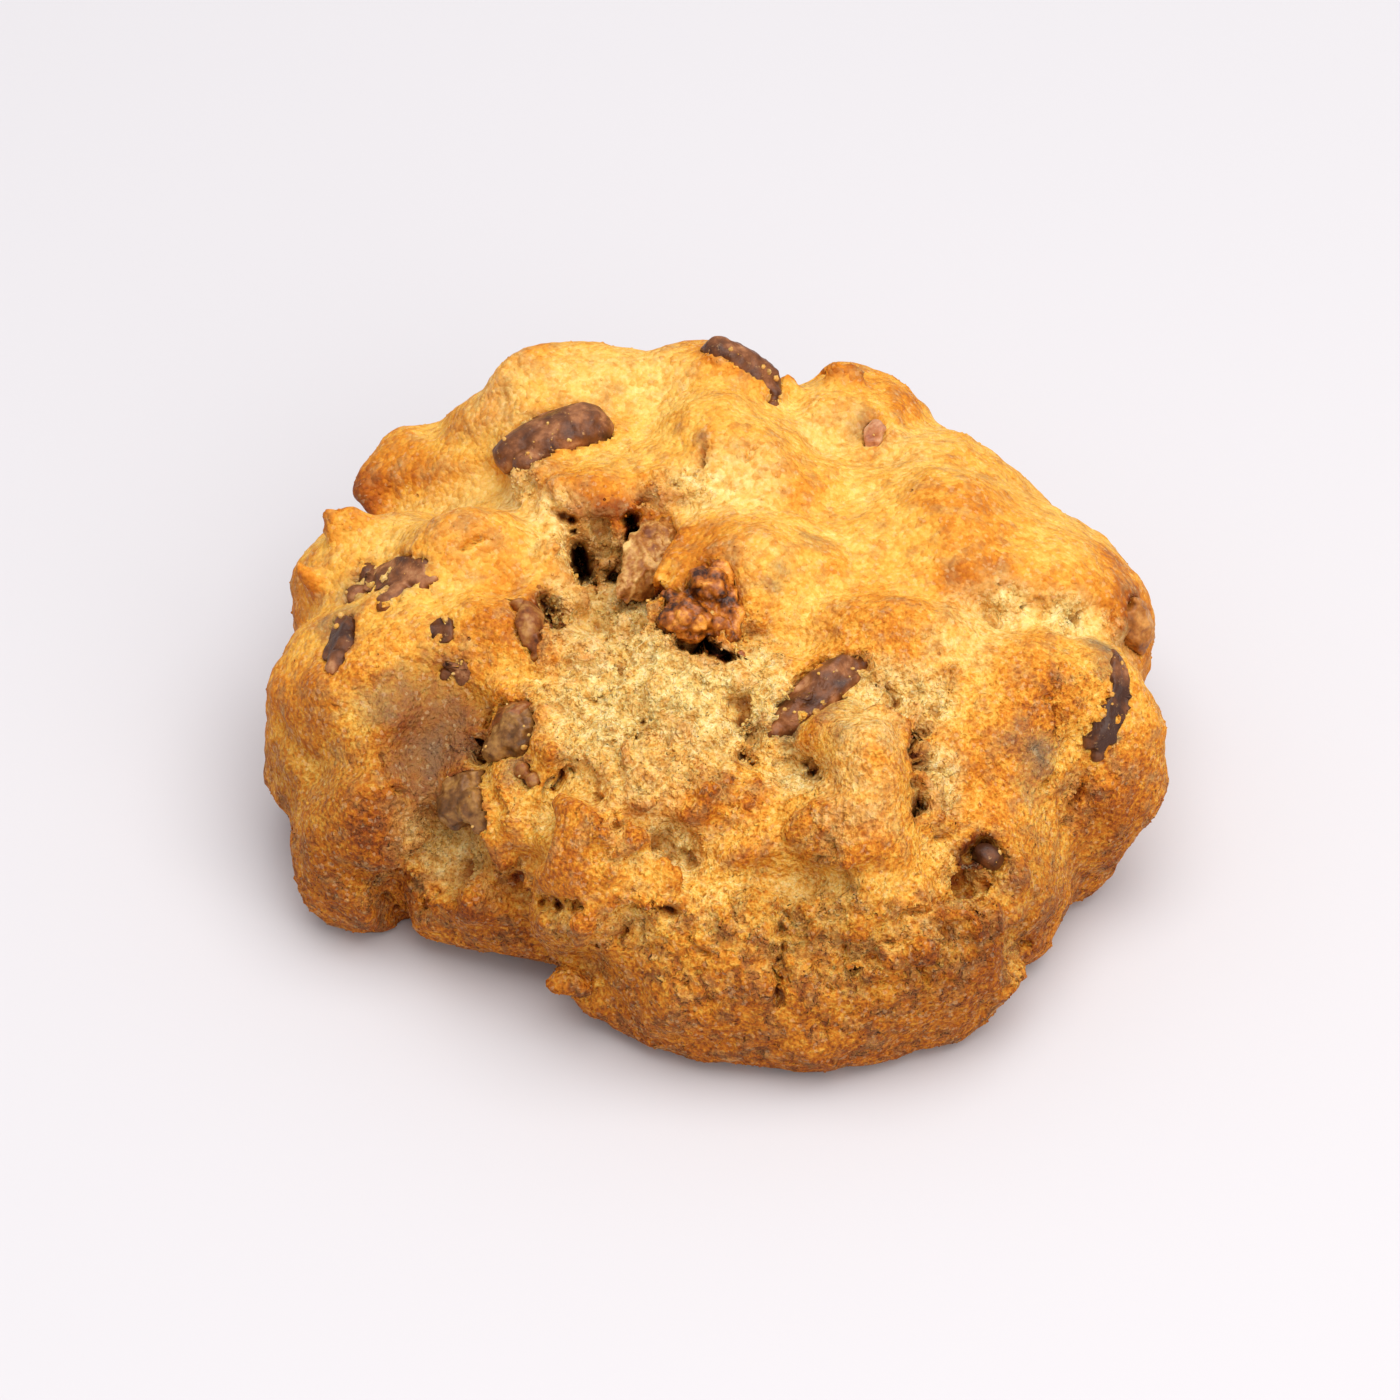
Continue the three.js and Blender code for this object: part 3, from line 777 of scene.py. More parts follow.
# %% Where the crust is torn
# Pixel, radius in millimetres, and how torn it is there.
TORN = [
    (640, 720, 12, 1.0), (600, 680, 8, 1.0), (700, 760, 8, 0.9), (560, 690, 5, 0.7), (740, 800, 6, 0.5),
    (670, 850, 6, 0.9), (620, 835, 6, 0.6), (758, 705, 5, 1.0), (700, 690, 7, 0.8), (590, 740, 7, 0.8),
    (650, 640, 6, 0.8), (800, 790, 5, 0.9), (820, 840, 5, 0.7), (745, 740, 5, 1.0), (780, 740, 4, 0.8),
    (925, 770, 4.5, 1.0), (935, 820, 5, 0.9), (960, 865, 6, 0.8), (900, 700, 5, 0.8), (930, 705, 4, 0.9),
    (640, 920, 5, 0.8), (720, 905, 5, 0.7), (800, 915, 6, 0.8), (860, 950, 6, 0.8), (930, 935, 6, 0.8),
    (980, 915, 5, 0.9), (1015, 950, 5, 0.8), (785, 950, 4, 0.8), (850, 905, 5, 0.6), (430, 845, 5, 0.8),
    (470, 875, 5, 0.9), (515, 880, 4, 0.8), (420, 890, 4, 0.7), (380, 888, 4, 0.7),
    (1000, 608, 3.5, 0.8), (1060, 618, 3.5, 0.9), (1098, 628, 3.5, 0.9), (530, 484, 4, 0.8),
    (555, 500, 3, 0.6), (692, 488, 3.5, 0.7), (660, 492, 3.5, 0.8), (600, 560, 8, 0.8),
    (620, 620, 6, 0.9), (560, 612, 4.5, 0.9), (545, 640, 3, 0.7), (540, 820, 3, 0.6), (505, 800, 4, 0.5),
    (590, 930, 4, 0.6), (560, 925, 4, 0.7), (985, 855, 4, 0.8), (1080, 800, 4, 0.5), (870, 670, 3, 0.7),
    (655, 785, 5, 0.8), (560, 545, 4, 0.6), (745, 640, 4, 0.8), (568, 976, 3.5, 0.7), (890, 720, 4, 0.7),
    (760, 660, 4, 0.6),
]


form = skin_tree(crust)
LUMP_SIZES = (0.7, 2.2)  # millimetres, half across; most are small
LUMP_SUNK = 0.35  # of its half width
LUMPS = 650
skin = corners(crust)
torn = painted(skin, form, TORN) * np.clip(0.75 + 0.9 * waves(skin, 5 * MM, 2), 0, 1)
print("torn share of the skin:", round(float((torn > 0.3).mean()), 3))

# %% One lump, copied over the torn crust
LUMP_UNEVEN = 0.28
deselect_all()
bpy.ops.mesh.primitive_ico_sphere_add(subdivisions=2, radius=1, location=(0, 0, 0))
lump = bpy.context.object
lump_places = corners(lump)
lump_places *= (1 + LUMP_UNEVEN * waves(lump_places + 3, 0.9, 2))[:, None]
set_corners(lump, lump_places)
lump_faces = [tuple(p.vertices) for p in lump.data.polygons]
bpy.data.objects.remove(lump)


def scattered(name, shape, faces, places, sizes, stretch=0.35):
    """One mesh of many copies of a shape, each turned and stretched its own way."""
    all_places, all_faces = [], []
    for i, (place, size) in enumerate(zip(places, sizes)):
        turn = Quaternion([random.gauss(0, 1) for _ in range(4)]).normalized().to_matrix()
        pull = np.array([1 + random.uniform(-stretch, stretch) for _ in range(3)])
        all_places.append((shape * pull * size) @ np.array(turn).T + place)
        all_faces.extend(tuple(c + i * len(shape) for c in face) for face in faces)
    mesh = bpy.data.meshes.new(name)
    mesh.from_pydata(np.concatenate(all_places).tolist(), [], all_faces)
    piece = bpy.data.objects.new(name, mesh)
    bpy.context.scene.collection.objects.link(piece)
    return piece


# %% Crags past the outline
# Small ones that the light catches against the table. First the pixel whose place on the skin gives their
# distance from the camera, and how many millimetres behind it they are; then each one's pixel and
# radius in millimetres.
NUBS = [
    ((376, 530), 2, [(345, 530, 2.3), (334, 520, 1.5), (350, 516, 1.6), (333, 534, 1.6),
        (360, 526, 2.0), (341, 541, 1.6), (326, 512, 0.8)]),
    ((305, 760), 9, [(283, 738, 2.2), (281, 755, 2.4)]),
    ((305, 770), 9, [(282, 774, 2.4)]),
    ((310, 790), 9, [(288, 792, 2.2)]),
    ((322, 590), 0.5, [(306, 574, 1.1), (298, 568, 0.8), (294, 562, 0.5), (314, 580, 1.2)]),
    ((560, 950), 0.5, [(553, 984, 1.1)]),
    ((560, 950), 0.3, [(564, 987, 1.3), (576, 984, 1.4)]),
    ((575, 955), 0.3, [(588, 988, 1.1)]),
    ((560, 950), 0.5, [(566, 976, 1.4)]),
    ((575, 955), 0.3, [(580, 992, 0.9)]),
    ((792, 400), 0.5, [(790, 382, 1.1), (788, 390, 1.1)]),
    ((830, 384), 0.5, [(826, 370, 1.0), (836, 370, 1.2)]),
    ((846, 384), 0.5, [(850, 371, 1.2), (862, 374, 1.2)]),
]


nub_places, nub_sizes = [], []
for anchor, behind, crags in NUBS:
    far = (on_skin(form, *anchor)[0] - camera.location).length + behind * MM
    for px, py, radius in crags:
        nub_places.append(np.array(camera.location + sight_line(px, py) * far))
        nub_sizes.append(radius * MM)
nubs = scattered("nubs", lump_places, lump_faces, nub_places, nub_sizes)
print("crags:", len(nub_places))

# %% Lumps in the tears, and one skin round all
chosen = random.choices(range(len(skin)), weights=(torn ** 1.5).tolist(), k=LUMPS)
smallest, largest = LUMP_SIZES
sizes = [random.uniform(0, 1) ** 2.2 * (largest - smallest) + smallest for _ in chosen]
normals = corner_normals(crust)
sunk = [skin[c] - normals[c] * size * MM * LUMP_SUNK for c, size in zip(chosen, sizes)]
join_into(crust, [nubs, scattered("lumps", lump_places, lump_faces, sunk, [s * MM for s in sizes])])
CRUST_CELL = 0.52 * MM
apply_modifier(crust, "REMESH", mode="VOXEL", voxel_size=CRUST_CELL, adaptivity=0)
apply_modifier(crust, "SMOOTH", factor=0.5, iterations=1)
print("crust corners with lumps:", len(crust.data.vertices))

# %% [markdown]
# ## The crust's relief
# The whole crust is uneven at every size: swellings of a finger's width, lumps of a few
# millimetres, grains of sugar and flour under one. Noise moves the corners along their normals,
# one pattern for each size. Plates are used for what broke apart: the clots of the torn crumb, and
# the dry wall at the front, which cracked while it spread. The torn places get the sharpest grain,
# the broad back of the cookie the softest.

# %% Neighbours
def neighbours(piece):
    flat = np.empty(len(piece.data.edges) * 2, dtype=np.int32)
    piece.data.edges.foreach_get("vertices", flat)
    return flat.reshape(-1, 2)


def softened(values, edges, rounds):
    """Averages each corner's values with its neighbours' that many times."""
    count = len(values)
    ends = np.concatenate([edges[:, 0], edges[:, 1]])
    others = np.concatenate([edges[:, 1], edges[:, 0]])
    shared = np.maximum(np.bincount(ends, minlength=count), 1)
    for _ in range(rounds):
        sums = [np.bincount(ends, values[others, i], count) for i in range(values.shape[1])]
        values = 0.5 * values + 0.5 * np.stack(sums, axis=1) / shared[:, None]
    return values


# %% Soft skin outside the tears
# The Remesh grid left small steps, so everything is softened a little, and the whole crust more.
SOFT_ROUNDS = 3
SMOOTH_ROUNDS = 8
skin = corners(crust)
torn = painted(skin, form, TORN)
edges = neighbours(crust)
kept = np.clip(torn * 2.5, 0, 1)[:, None]
skin = softened(skin, edges, SOFT_ROUNDS)
skin = kept * skin + (1 - kept) * softened(skin, edges, SMOOTH_ROUNDS)
set_corners(crust, skin)
print("corners kept rough:", int((kept > 0.5).sum()))

# %% Where the crust cracked
# Painted patches, and the steep wall near the tray all round. Every pattern is bent by noise, so
# that no plate has a straight edge.
CRACKED = [
    (700, 980, 11, 1.0), (800, 1000, 11, 1.0), (900, 980, 11, 1.0), (640, 970, 7, 0.9),
    (970, 960, 8, 0.9), (740, 1030, 8, 0.8), (860, 1030, 8, 0.9), (370, 850, 7, 0.7), (340, 880, 7, 0.6),
    (1070, 740, 8, 0.6), (1080, 700, 7, 0.6), (1040, 880, 8, 0.5), (660, 940, 6, 0.9),
    (760, 930, 7, 0.9), (850, 930, 7, 0.9), (1090, 800, 7, 0.7),
]
WALL_HEIGHT = 20 * MM
BEND = 0.7 * MM
normals = corner_normals(crust)
bend = np.stack([waves(skin + shift * MM, 2.4 * MM, 2) for shift in (0, 50, 90)], axis=1) * BEND
wall = np.clip(1.25 - 1.3 * np.abs(normals[:, 2]), 0, 1) * np.clip(1.3 - skin[:, 2] / WALL_HEIGHT, 0, 1)
cracked = np.maximum(painted(skin, form, CRACKED), 0.6 * wall)
sandy = np.clip(0.35 + torn + cracked + 0.5 * wall, 0, 1)
print("cracked share:", round(float((cracked > 0.3).mean()), 2))

# %% Swellings, clots and grains
# Sizes along the skin in millimetres. The factors below are heights and depths, also in millimetres.
SWELLING, RIPPLE, CLOT, CRUMB, FINE, FINEST = 6, 2.1, 6.0, 3.0, 1.25, 0.8
GAP_WIDTH = 0.22  # of a plate


def gap(edge, width):
    """From 0 to 1 as a place nears the edge between two plates."""
    return np.clip(1 - edge / width, 0, 1)


clot_edge, clot_height = plates(skin + bend * 2, CLOT * MM)
crumb_edge, crumb_height = plates(skin + bend, CRUMB * MM)
clot_gap, crumb_gap = gap(clot_edge, GAP_WIDTH) ** 1.5, gap(crumb_edge, GAP_WIDTH) ** 1.5
fine = 0.5 - grains(skin + bend, FINE * MM)[:, 0]
finest = 0.5 - grains(skin + bend * 0.5, FINEST * MM)[:, 0]
push = 0.45 * waves(skin, SWELLING * MM, 2) + 0.24 * waves(skin, RIPPLE * MM, 2)
push += torn * (1.7 * clot_height * np.clip(clot_edge * 3, 0, 1) - 1.1 * clot_gap)
push += torn * (0.45 * crumb_height - 0.3 * crumb_gap + 0.25 * fine + 0.15 * finest)
push += sandy * (0.14 * fine + 0.1 * finest)

# %% Cracked plates and pits
PLATE, PLATE_GAP = 4.2, 0.13
PIT, PIT_SIZE = 3.0, 0.2
net_edge, net_height = plates(skin + bend * 1.5, PLATE * MM)
broken = np.clip(0.55 + waves(skin, 7 * MM, 2), 0, 1)
push += cracked * (0.15 * net_height * broken - 0.45 * gap(net_edge, PLATE_GAP) * broken)
pits = gap(grains(skin + bend, PIT * MM)[:, 0], PIT_SIZE) * (waves(skin + 30 * MM, 4 * MM, 1) > 0.02)
push -= pits * 0.6 * cracked
push *= np.clip(skin[:, 2] / (1.2 * MM), 0, 1)  # the flat underside stays flat
skin += normals * (push * MM)[:, None]
print("relief, mm:", np.round(np.percentile(push, (1, 50, 99)), 2))

# %% [markdown]
# ## The deepest gaps
# The relief has filled the hollow again here and there, and the real one has gaps so deep that no
# light comes out. They are sunk once more, in the same way as the hollow, and after them come the
# small holes in the crumb and the tears. Last, the crust is cleared off the nuts and the chocolate.

# %% Gaps and small holes
# Gaps: pixel, radius in pixels, and how far behind the sphere, as above.
GAPS = [
    (554, 512, 7, 17.5), (563, 516, 8, 19.0), (572, 520, 7, 20.0), (573, 532, 4, 20.5),
    (581, 562, 13, 31.0), (579, 551, 10, 29.0), (584, 574, 11, 31.0), (630, 520, 10, 24.0),
    (634, 530, 9, 24.0), (629, 538, 8, 23.0), (613, 577, 9, 21.5), (550, 612, 13, 12.5),
    (544, 602, 10, 12.0), (556, 624, 10, 11.5), (652, 594, 10, 14.0), (683, 643, 10, 9.5),
    (698, 647, 10, 9.5), (713, 651, 10, 9.0), (726, 656, 8, 8.0),
]
# Holes: pixel, radius in pixels, and how deep in millimetres.
HOLES = [
    (917, 740, 9, 4.0), (914, 752, 8, 3.0), (917, 766, 8, 2.5), (915, 784, 8, 3.0), (918, 797, 8, 3.5),
    (921, 808, 8, 3.0), (742, 757, 9, 3.5), (750, 764, 7, 2.5), (812, 774, 7, 2.5), (806, 764, 6, 2.0),
    (641, 722, 6, 2.5), (637, 736, 6, 2.5), (634, 746, 6, 2.0), (983, 846, 13, 3.5), (974, 852, 11, 3.5),
    (967, 858, 9, 3.0), (779, 960, 6, 2.0), (779, 978, 7, 2.5), (780, 935, 6, 1.5), (545, 903, 9, 2.5),
    (560, 905, 8, 2.5), (575, 908, 7, 2.0),
]
RAGGED_EDGE = 0.4
sink_behind(skin, form, GAPS)
dig(skin, HOLES)
for width, depth, pixels in TEARS:
    carve(skin, form, width, depth, RAGGED_EDGE, pixels)
for node, piece in pieces.items():
    clear_off(skin, node, piece)
set_corners(crust, skin)
print("gaps, holes and tears:", len(GAPS), len(HOLES), len(TEARS))

# %% Fewer faces underneath
# The flat underside needs few: only its corners are in the group that Decimate may take.
MOST_TRIANGLES = 197000
UNDERSIDE = 0.25 * MM
triangles = sum(len(p.vertices) - 2 for p in crust.data.polygons)
group = crust.vertex_groups.new(name="underside")
group.add(np.nonzero(skin[:, 2] < UNDERSIDE)[0].tolist(), 1.0, "ADD")
apply_modifier(crust, "DECIMATE", ratio=min(1, 0.7 * MOST_TRIANGLES / triangles), vertex_group="underside")
make_active(crust)
bpy.ops.object.shade_smooth()
print("crust triangles:", triangles, "->", sum(len(p.vertices) - 2 for p in crust.data.polygons))

# %% [markdown]
# ## Browning
# Heat browns what sticks out and what faces the side, and leaves hollows and fresh tears pale. The
# mesh itself says which is which: its corners are averaged with their neighbours again and again,
# and a corner that lies below the averaged skin is in a hollow. The narrowest hollows are painted
# browner and the deepest ones dark: both are painted shade. All that, the height, the torn places and
# a few painted patches are kept as attributes, which the material reads.

# %% Painted patches
def keep(piece, name, values):
    layer = piece.data.attributes.new(name, "FLOAT", "POINT")
    layer.data.foreach_set("value", np.clip(values, 0, 1).astype(np.float32))


# Painted patches: pixel, radius in millimetres, share. The third list holds chocolate rubbed into the crust,
# and painted shade in the valley at the left. The fourth list is all painted shade: under the lip, in the
# holes and the valley, and along the low walls.
BROWNED = [
    (598, 508, 2.8, 0.8), (576, 504, 2.4, 0.6), (618, 506, 2.4, 0.7), (600, 490, 4, 0.3),
    (640, 500, 4, 0.3), (549, 612, 2.4, 1.0), (545, 602, 1.8, 0.9), (557, 622, 2.0, 0.9),
    (560, 470, 5, 0.3), (700, 540, 6, 0.6), (730, 530, 6, 0.35), (860, 640, 7, 0.4), (900, 650, 6, 0.5),
    (850, 800, 5, 0.35), (850, 835, 6, 0.4), (970, 790, 7, 0.4), (1040, 700, 7, 0.5),
    (1000, 740, 7, 0.3), (380, 830, 5, 0.6), (400, 880, 5, 0.4), (440, 520, 6, 0.15),
    (410, 545, 5, 0.15), (300, 600, 7, 0.35), (290, 700, 7, 0.35), (500, 620, 6, 0.4),
    (470, 660, 7, 0.25), (505, 590, 4, 0.5), (700, 790, 6, 0.4), (740, 800, 5, 0.4), (580, 815, 5, 0.35),
    (940, 500, 5, 0.35), (980, 525, 8, 0.35), (1000, 570, 5, 0.4), (960, 590, 4, 0.7),
    (880, 590, 7, 0.3), (990, 930, 5, 0.45), (930, 920, 5, 0.3), (1130, 790, 8, 0.4), (870, 380, 6, 0.4),
    (905, 400, 5, 0.5), (400, 465, 5, 0.3), (365, 490, 5, 0.9), (492, 408, 3, 0.5), (700, 365, 6, 0.2),
    (1135, 620, 7, 0.7), (1115, 560, 4, 0.6), (820, 360, 3, 0.5), (1085, 800, 5, 0.5),
    (570, 870, 4, 0.4), (810, 500, 6, 0.3),
]
PALE = [
    (604, 545, 4.0, 1.0), (612, 562, 4.0, 1.0), (590, 540, 3.0, 0.9), (622, 600, 6, 0.9),
    (632, 628, 6, 0.8), (640, 700, 13, 0.8), (600, 640, 8, 0.7), (700, 700, 9, 0.8), (760, 700, 6, 0.8),
    (740, 480, 7, 0.5), (700, 490, 6, 0.6), (520, 490, 6, 0.7), (550, 515, 5, 0.6), (830, 430, 6, 0.4),
    (880, 700, 6, 0.7), (920, 700, 5, 0.7), (930, 780, 5, 0.8), (1010, 610, 5, 0.7), (1070, 625, 5, 0.7),
    (980, 620, 6, 0.5), (430, 820, 6, 0.6), (450, 850, 6, 0.6), (800, 780, 5, 0.6), (600, 580, 8, 0.8),
    (620, 620, 6, 0.8), (560, 550, 5, 0.4), (560, 610, 5, 0.6), (760, 550, 6, 0.2), (660, 850, 5, 0.5),
    (760, 660, 4, 0.6), (640, 780, 6, 0.4), (460, 500, 6, 0.25), (900, 450, 6, 0.3), (960, 640, 6, 0.35),
    (1120, 650, 5, 0.4), (840, 760, 6, 0.3), (870, 720, 6, 0.5), (860, 800, 6, 0.3), (500, 395, 8, 0.35),
    (590, 380, 8, 0.35), (650, 372, 8, 0.3), (460, 520, 8, 0.15), (400, 530, 8, 0.15),
    (390, 575, 4, 0.6), (365, 585, 3, 0.4),
]
# Chocolate rubbed into the crust; the patches in the valley at the left are painted shade.
SMEARS_AND_SHADE = [
    (840, 698, 3.0, 0.4), (825, 712, 2.5, 0.35), (448, 725, 5, 0.4), (455, 750, 4, 0.4),
    (438, 700, 4, 0.3), (410, 730, 5, 0.25), (445, 785, 4, 0.3), (400, 700, 5, 0.4), (425, 760, 5, 0.5),
    (515, 768, 2.5, 0.5), (1040, 755, 3.5, 0.7), (1030, 790, 3, 0.35), (1020, 740, 3, 0.4),
    (425, 715, 5, 0.35), (440, 760, 5, 0.3), (430, 790, 5, 0.25), (458, 745, 4, 0.4),
    (395, 690, 4, 0.35), (450, 735, 4, 0.5), (370, 705, 3, 0.4), (400, 580, 3.5, 0.5),
    (335, 620, 4, 0.5), (1100, 645, 3, 0.6), (1108, 665, 2.5, 0.35), (790, 735, 2.5, 0.6),
    (765, 725, 2.5, 0.3), (420, 770, 4, 0.25), (440, 790, 4, 0.25), (860, 425, 3, 0.3),
    (838, 728, 2, 0.4), (1010, 880, 2.5, 0.35), (440, 650, 3, 0.3), (700, 440, 1.5, 0.4),
    (880, 535, 3, 0.15), (815, 540, 2.5, 0.3), (775, 575, 2.5, 0.35), (350, 590, 3, 0.5),
    (570, 755, 2, 0.1), (600, 575, 5, 0.2), (640, 600, 4, 0.15),
]
# All painted shade: under the lip, in the holes and the valley, and along the low walls.
PAINTED_SHADE_PATCHES = [
    (430, 745, 9, 0.5), (440, 790, 8, 0.44), (455, 725, 6, 0.46), (420, 710, 7, 0.3),
    (600, 538, 3.6, 0.4), (598, 524, 2.4, 0.5), (612, 562, 3.0, 0.34), (600, 606, 4, 0.14),
    (340, 800, 12, 0.2), (370, 850, 10, 0.2), (320, 740, 9, 0.12), (330, 870, 9, 0.2),
    (400, 820, 10, 0.2), (290, 780, 8, 0.2), (980, 960, 11, 0.2), (900, 1000, 10, 0.12),
    (1040, 900, 11, 0.16), (1100, 850, 9, 0.14), (480, 900, 9, 0.16), (560, 950, 9, 0.12),
    (780, 1040, 14, 0.08), (800, 905, 8, 0.14), (850, 905, 6, 0.12), (960, 1010, 10, 0.1),
    (640, 1000, 10, 0.08), (581, 560, 1.9, 1.0), (563, 515, 1.8, 0.8), (574, 526, 1.2, 0.9),
    (633, 524, 1.6, 0.9), (641, 512, 1.0, 0.7), (604, 526, 1.2, 0.6), (613, 577, 1.0, 0.8),
    (652, 593, 1.3, 0.9), (684, 642, 1.8, 0.9), (704, 648, 2.0, 0.8), (722, 654, 2.0, 0.8),
    (549, 610, 3.0, 0.9), (558, 624, 2.2, 0.7), (742, 758, 1.2, 0.8), (809, 773, 1.0, 0.8),
    (916, 760, 1.6, 0.7), (917, 800, 1.4, 0.7), (982, 850, 2.4, 0.95), (973, 856, 2.2, 0.95),
    (966, 861, 1.8, 0.9),
]

# %% Hollow or swelling, low or high
# How far each corner lies below the skin around it, in millimetres: close by, and over a wide area.
LOW_HEIGHT = 22 * MM
CLOSE_ROUNDS, WIDE_ROUNDS = 12, 90
skin = corners(crust)
normals = corner_normals(crust)
edges = neighbours(crust)
soft = softened(skin, edges, CLOSE_ROUNDS)
softer = softened(soft, edges, WIDE_ROUNDS)
hollow = softened(((soft - skin) * normals).sum(1)[:, None], edges, 3)[:, 0] / MM
broad_hollow = ((softer - skin) * normals).sum(1) / MM
torn = painted(skin, form, TORN)
low = np.clip(1 - skin[:, 2] / LOW_HEIGHT, 0, 1)
steep = 1 - np.clip(normals[:, 2], 0, 1)
print("hollow, mm:", np.round(np.percentile(hollow, (5, 50, 95)), 2),
      "broad:", np.round(np.percentile(broad_hollow, (5, 50, 95)), 2))

# %% Looks stored on the mesh
FRONT_DEPTH = 25 * MM
browning = 0.36 + 0.26 * low + 0.2 * steep - (0.16 - 0.12 * low) * np.clip(broad_hollow, -1.2, 1.2)
browning += 0.42 * painted(skin, form, BROWNED) - 0.2 * (1 - low) * np.clip(hollow, -1, 0)
browning += 0.5 * np.clip(hollow - 0.03, 0, 0.5)  # the narrow hollows painted browner: painted shade
pale = np.clip(painted(skin, form, PALE) + 0.35 * torn + 0.4 * np.clip(broad_hollow - 0.4, 0, 1), 0, 1)
pale *= 1 - 0.75 * np.clip(low * 1.3 - 0.25, 0, 1)
# Narrow hollows are less pale too: painted shade.
pale -= 1.0 * np.clip(hollow - 0.08, 0, 0.4)
pale -= 1.8 * np.clip(-hollow - 0.04, 0, 0.25) * torn  # the tips of the crumb are golden
wall = np.clip(steep * 1.3 - 0.4, 0, 1) * np.clip(low * 1.5, 0, 1)
cracked = np.maximum(painted(skin, form, CRACKED), wall)
# Painted shade in the deepest hollows, which the material darkens.
deep = 1.2 * np.clip(hollow - 0.3, 0, 1) + 0.25 * np.clip(broad_hollow - 1.3, 0, 2)
at_front = np.clip(-skin[:, 1] / FRONT_DEPTH, 0, 0.6)
looks = {
    "browning": browning, "pale": pale, "smear_and_shade": painted(skin, form, SMEARS_AND_SHADE), "cracked": cracked,
    "deep": np.maximum(painted(skin, form, PAINTED_SHADE_PATCHES), deep),
    "sandy": np.clip(0.3 + 0.5 * torn + 0.4 * cracked + 0.3 * low + at_front, 0, 1),
}
for name, values in looks.items():
    keep(crust, name, values)
print("looks:", {name: round(float(values.mean()), 2) for name, values in looks.items()})

# %% [markdown]
# ## Nodes for food
# Every material here is a chain of small steps: a pattern of a known size, a sum, a ramp of colours,
# one colour laid over another. Each kind of step is written once, with its size in millimetres, so
# that the materials below read like recipes. Clicking the same nodes together in the shader editor
# gives the same result.

# %% Patterns and sums
def ramp(nodes, factor, stops):
    """A colour ramp through (position, hex colour) stops."""
    node = add_node(nodes, "ShaderNodeValToRGB", links=[("Fac", factor)])
    while len(node.color_ramp.elements) < len(stops):
        node.color_ramp.elements.new(0.5)
    for element, (position, text) in zip(node.color_ramp.elements, stops):
        element.position = position
        element.color = hex_colour(text)
    return node.outputs["Color"]


def per_mm(size):
    """The scale that gives a pattern of this size in millimetres on Object coordinates."""
    return 1 / (size * MM)


def cloudy(nodes, place, size, detail=2.0, roughness=0.5, output="Fac"):
    """Soft noise with patches of about that many millimetres."""
    return add_node(nodes, "ShaderNodeTexNoise", links=[("Vector", place)], input_Scale=per_mm(size),
                    input_Detail=detail, input_Roughness=roughness).outputs[output]


def cells(nodes, place, size, **settings):
    """Cells of about that many millimetres, each with its own random colour."""
    return add_node(nodes, "ShaderNodeTexVoronoi", links=[("Vector", place)],
                    input_Scale=per_mm(size), **settings).outputs


def calculated(nodes, operation, *values):
    """A Math node's result. Each value is a number or another node's output."""
    node = add_node(nodes, "ShaderNodeMath", operation=operation)
    for socket, value in zip(node.inputs, values):
        if isinstance(value, float):
            socket.default_value = value
        else:
            nodes.links.new(socket, value)
    return node.outputs[0]


def add_scaled(nodes, base, value, middle, scale):
    """base + (value - middle) * scale, as nodes."""
    return calculated(nodes, "MULTIPLY_ADD", calculated(nodes, "SUBTRACT", value, middle), scale, base)


def fitted(nodes, value, low=0.0, high=1.0, to_low=0.0, to_high=1.0):
    """The range from low to high, stretched to the other one."""
    return add_node(nodes, "ShaderNodeMapRange", links=[("Value", value)], input_1=low, input_2=high,
                    input_3=to_low, input_4=to_high).outputs[0]


# %% Colours, stored looks and bump
def mixed(nodes, share, under, over, blend="MIX"):
    """One colour laid over another. The share is an output or a number, over an output or a hex."""
    node = add_node(nodes, "ShaderNodeMix", data_type="RGBA", blend_type=blend, links=[(6, under)])
    if isinstance(share, float):
        node.inputs[0].default_value = share
    else:
        nodes.links.new(node.inputs[0], share)
    if isinstance(over, str):
        node.inputs[7].default_value = hex_colour(over)
    else:
        nodes.links.new(node.inputs[7], over)
    return node.outputs[2]


def channel(nodes, colour, index):
    return add_node(nodes, "ShaderNodeSeparateColor", links=[("Color", colour)]).outputs[index]


def stored(nodes, name):
    return add_node(nodes, "ShaderNodeAttribute", attribute_name=name).outputs["Fac"]


def bumped(nodes, height, strength, distance, before=None, invert=False):
    """Bump on top of an earlier one. The distance is in millimetres."""
    node = add_node(nodes, "ShaderNodeBump", links=[("Height", height)], invert=invert,
                    input_Distance=distance * MM)
    if isinstance(strength, float):
        node.inputs["Strength"].default_value = strength
    else:
        nodes.links.new(node.inputs["Strength"], strength)
    if before is not None:
        nodes.links.new(node.inputs["Normal"], before)
    return node.outputs[0]


def waxy(shader, weight, reach, scale):
    """Lets a little light into the surface: red furthest, blue least."""
    shader.inputs["Subsurface Weight"].default_value = weight
    shader.inputs["Subsurface Radius"].default_value = reach
    shader.inputs["Subsurface Scale"].default_value = scale * MM


# %% [markdown]
# ## Baked dough
# The crust is butter dough browned in dry heat: flour and sugar set into a matt, slightly oily
# skin, pale gold where it is thin and orange to brown where it stands out. Light enters it a
# little way, which keeps the shadows warm. Sugar crystals catch the light as fine sparkle: they
# are a little glossier, and pale specks of sugar are painted in lighter still, as a painted highlight.

# %% Patterns in the dough
dough, nodes, shader = new_material("baked butter dough")
place = add_node(nodes, "ShaderNodeTexCoord").outputs["Object"]
look = {name: stored(nodes, name) for name in looks}
blotches = cloudy(nodes, place, 9, 5.0, 0.7)
mottle = cloudy(nodes, place, 2.2, 3.0, 0.6)
grit = cloudy(nodes, place, 0.9, 2.0, 0.6)
sand = cloudy(nodes, place, 0.42, 1.0)
grain = cells(nodes, place, 0.65)
grain_tint = channel(nodes, grain["Color"], 0)
sand_shown = calculated(nodes, "MULTIPLY", calculated(nodes, "SUBTRACT", sand, 0.5), look["sandy"])
print("looks that the mesh stores:", list(look))
